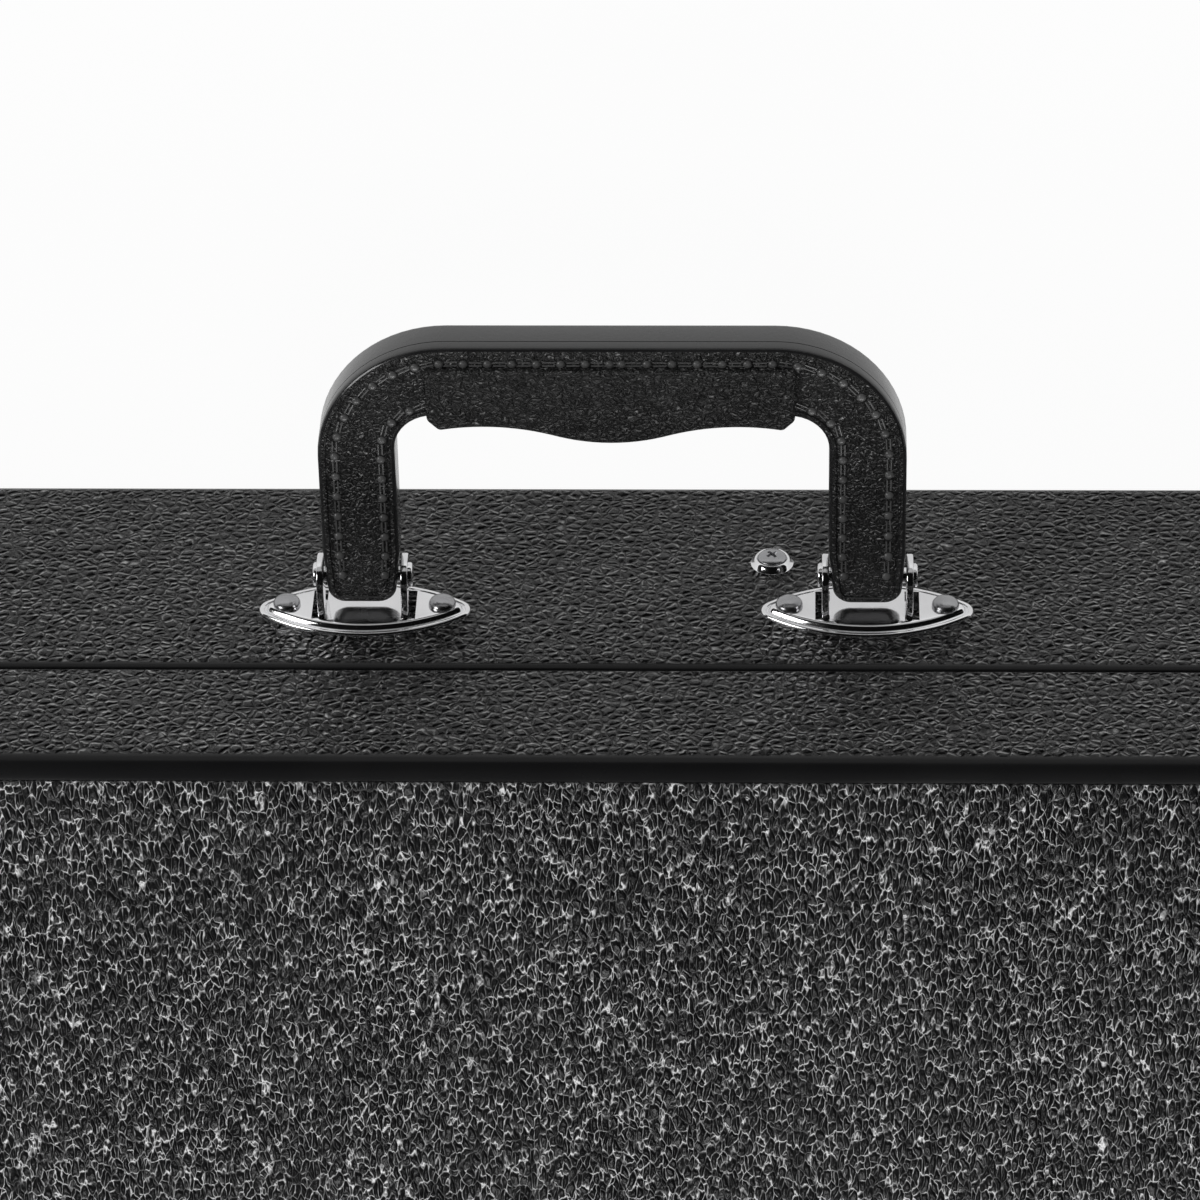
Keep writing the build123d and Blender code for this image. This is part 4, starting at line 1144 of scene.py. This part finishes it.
def makeWallLining(look):
    sheet = liningBlock("wallLining", look)
    dropFaces(sheet, lambda face: abs(face.normal.z) > 0.9)
    gridded(sheet, look)
    for level in (*look["levels"], look["cornerTop"], look["upperLevel"]):
        cutAcross(sheet, 2, level)
    # the cloth is trimmed round the corner posts, below the lip
    dropFaces(sheet, lambda face: face.center.z > look["cornerTop"] * mm
              and min(abs(face.normal.x), abs(face.normal.y)) > 0.3)
    waved(sheet, look)
    thickened(sheet, look["thick"])
    roundEdges(sheet, look["easing"], 2, lambda edge: allAt(sheet, edge, 2, look["top"], 0.5))
    finishPiece(sheet, "base", "pile_lining", pileBlack, "wall_lining")


def makeLidLining(look):
    sheet = liningBlock("lidLining", look)
    dropFaces(sheet, lambda face: facesTo(face, (0, 0, -1)))
    roundEdges(sheet, look["fold"], 3, lambda edge: allAt(sheet, edge, 2, look["top"]))
    gridded(sheet, look)
    waved(sheet, lining)
    sheet.data.transform(movedBy(0, 0, -lining["drop"]))
    thickened(sheet, look["thick"])
    finishPiece(sheet, "lid", "pile_lining", pileBlack, "lid_lining")


makeFloorLining(lining)
makeWallLining(lining)
makeLidLining(lidLining)
for node in ("cross_partition", "long_partition"):
    dressNode(node, "base", "pile_lining", pileBlack, 0.9, 3, 20)
for node in woodNodes:
    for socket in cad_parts[node].material_slots:
        socket.material = plywood
print("linings ready")


# Pads: foam in pile cloth, swollen between its seams

pads = {
    "neckBolster": {"node": "neck_bolster", "voxel": 4.5, "hold": (None, None, 8.7), "seams": ((2, 43),)},
    "spineWaistBolster": {"node": "spine_waist_bolster", "voxel": 5, "hold": (None, 182.1, 8.7),
                          "seams": ((2, 50),)},
    "handleWaistBolster": {"node": "handle_waist_bolster", "voxel": 5, "hold": (None, -182.1, 8.7),
                           "seams": ((2, 50),)},
    "tailBolster": {"node": "tail_bolster", "voxel": 4.5, "hold": (587.1, None, 8.7), "seams": ((2, 52),)},
    "neckCradle": {"node": "neck_cradle", "voxel": 5, "hold": (None, None, 8.7),
                   "seams": ((0, -400), (0, -376))},
    "lidPad": {"node": "lid_pad", "voxel": 5, "hold": (None, None, 116.3), "body": "lid",
               "seams": ((2, 109), (0, 175), (0, 285), (0, 395))},
}
# snap, merge and seamReach are shares of a pad's voxel
swell = {"inset": 1.6, "most": 2.6, "draw": 1.2, "frames": 20, "fill": 0.8, "snap": 0.7, "merge": 0.2,
         "seamReach": 0.52}
clothLook = {"quality": 5, "mass": 0.2, "tension_stiffness": 8, "compression_stiffness": 8,
             "bending_stiffness": 0.3, "use_pressure": True, "uniform_pressure_force": 4,
             "vertex_group_mass": "held"}


def holdsOf(look):
    return [(axis, held) for axis, held in enumerate(look["hold"]) if held is not None]


def startPad(name, look):
    # a slightly smaller copy, evenly meshed, with its seams and glued sides held
    pad = copyNode(look["node"], name)
    low, high = [[pick(vertex.co[axis] for vertex in pad.data.vertices) / mm for axis in range(3)]
                 for pick in (min, max)]
    middle, scale = [], []
    for axis in range(3):
        held = look["hold"][axis]
        extent = high[axis] - low[axis]
        middle.append((low[axis] + high[axis]) / 2 if held is None else held)
        scale.append(1 - swell["inset"] * (2 if held is None else 1) / extent)
    pickParts(pad, "vertices")
    bpy.ops.transform.resize(value=scale, center_override=[v * mm for v in middle])
    leaveEdit()
    modified(pad, "REMESH", mode="VOXEL", voxel_size=look["voxel"] * mm)
    holds = holdsOf(look)
    for axis, held in holds:
        for vertex in pad.data.vertices:
            if abs(vertex.co[axis] / mm - held) < swell["snap"] * look["voxel"]:
                vertex.co[axis] = held * mm
    pickParts(pad, "vertices")
    bpy.ops.mesh.remove_doubles(threshold=swell["merge"] * look["voxel"] * mm)
    leaveEdit()
    group = pad.vertex_groups.new(name="held")
    seamed = []
    for vertex in pad.data.vertices:
        place = vertex.co / mm
        glued = any(abs(place[axis] - held) < 0.01 for axis, held in holds)
        atSeam = any(abs(place[axis] - level) < swell["seamReach"] * look["voxel"]
                     for axis, level in look["seams"])
        if glued or atSeam:
            group.add([vertex.index], 1.0, "REPLACE")
        if atSeam and not glued:
            seamed.append(vertex.index)
    normals = [pad.data.vertices[index].normal.copy() for index in seamed]
    for index, normal in zip(seamed, normals):
        pad.data.vertices[index].co -= normal * swell["draw"] * mm
    return pad


def addCloth(pad):
    takeUp(pad)
    cloth = pad.modifiers.new("Cloth", "CLOTH")
    for key, value in clothLook.items():
        setattr(cloth.settings, key, value)
    cloth.settings.effector_weights.gravity = 0
    cloth.collision_settings.use_collision = False
    cloth.point_cache.frame_start = 1
    cloth.point_cache.frame_end = swell["frames"]


def swellPads(made):
    starts = {pad.name: [vertex.co.copy() for vertex in pad.data.vertices] for pad in made}
    for pad in made:
        addCloth(pad)
    for step in range(1, swell["frames"] + 1):
        bpy.context.scene.frame_set(step)
    for pad in made:
        takeUp(pad)
        bpy.ops.object.modifier_apply(modifier="Cloth")
        for vertex, start in zip(pad.data.vertices, starts[pad.name]):
            moved = vertex.co - start
            if moved.length > swell["most"] * mm:
                vertex.co = start + moved.normalized() * swell["most"] * mm
    bpy.context.scene.frame_set(1)


def cutLoops(piece, axis, level):
    # outlines of the piece in a plane across one axis, each a list of points in order
    twin = copyTo(piece, "sliced", Matrix.Identity(4))
    cutAcross(twin, axis, level, "vertices")
    beside = {}
    for edge in twin.data.edges:
        if edge.select:
            first, last = edge.vertices
            beside.setdefault(first, []).append(last)
            beside.setdefault(last, []).append(first)
    loops, seen = [], set()
    for start in sorted(beside):
        if start in seen:
            continue
        loop, here = [], start
        while here is not None:
            seen.add(here)
            loop.append(twin.data.vertices[here].co.copy())
            here = next((index for index in beside[here] if index not in seen), None)
        if len(loop) > 8:
            loops.append(loop)
    bpy.data.objects.remove(twin)
    return loops


def evenPlaces(loop, pitch):
    runs = [(b - a).length for a, b in zip(loop, loop[1:] + loop[:1])]
    count = max(4, round(sum(runs) / (pitch * mm)))
    step = sum(runs) / count
    places, index, gone = [], 0, 0.0
    for number in range(count):
        while index < len(runs) - 1 and gone + runs[index] < number * step:
            gone += runs[index]
            index += 1
        share = (number * step - gone) / max(runs[index], 1e-9)
        start, end = loop[index], loop[(index + 1) % len(loop)]
        places.append((start.lerp(end, min(1, share)), (end - start).normalized()))
    return places


def sew(name, piece, seams, body, slot, shown):
    # short stitches that lie on the cloth along its seams
    bpy.ops.mesh.primitive_uv_sphere_add(segments=8, ring_count=5, radius=1 * mm)
    master = bpy.context.object
    master.scale = (thread["length"] / 2, thread["width"] / 2, thread["rise"])
    bakePlace(master)
    smoothed(master, 60)
    twins = []
    for axis, level in seams:
        for loop in cutLoops(piece, axis, level):
            for place, heading in evenPlaces(loop, thread["pitch"]):
                found, near, normal, _ = piece.closest_point_on_mesh(place)
                if not found or not shown(near / mm):
                    continue
                along = (heading - normal * heading.dot(normal)).normalized()
                turn = Matrix((along, normal.cross(along), normal)).transposed().to_4x4()
                place = Matrix.Translation(near + normal * thread["lift"] * mm)
                twins.append(copyTo(master, "stitch", place @ turn))
    bpy.data.objects.remove(master)
    row = joined(name, twins)
    return finishPiece(row, body, slot, threadGrey)


madePads = [startPad(name, look) for name, look in pads.items()]
swellPads(madePads)
for pad, (name, look) in zip(madePads, pads.items()):
    modified(pad, "SUBSURF", levels=1, render_levels=1)
    smoothed(pad, 75)
    body, glued = look.get("body", "base"), holdsOf(look)
    finishPiece(pad, body, "padded_pile", padCloth, look["node"])
    sew("seam_" + name, pad, look["seams"], body, "padded_pile",
        lambda place: all(abs(place[axis] - held) > thread["clear"] for axis, held in glued))
print("pads ready")


print("scene built")
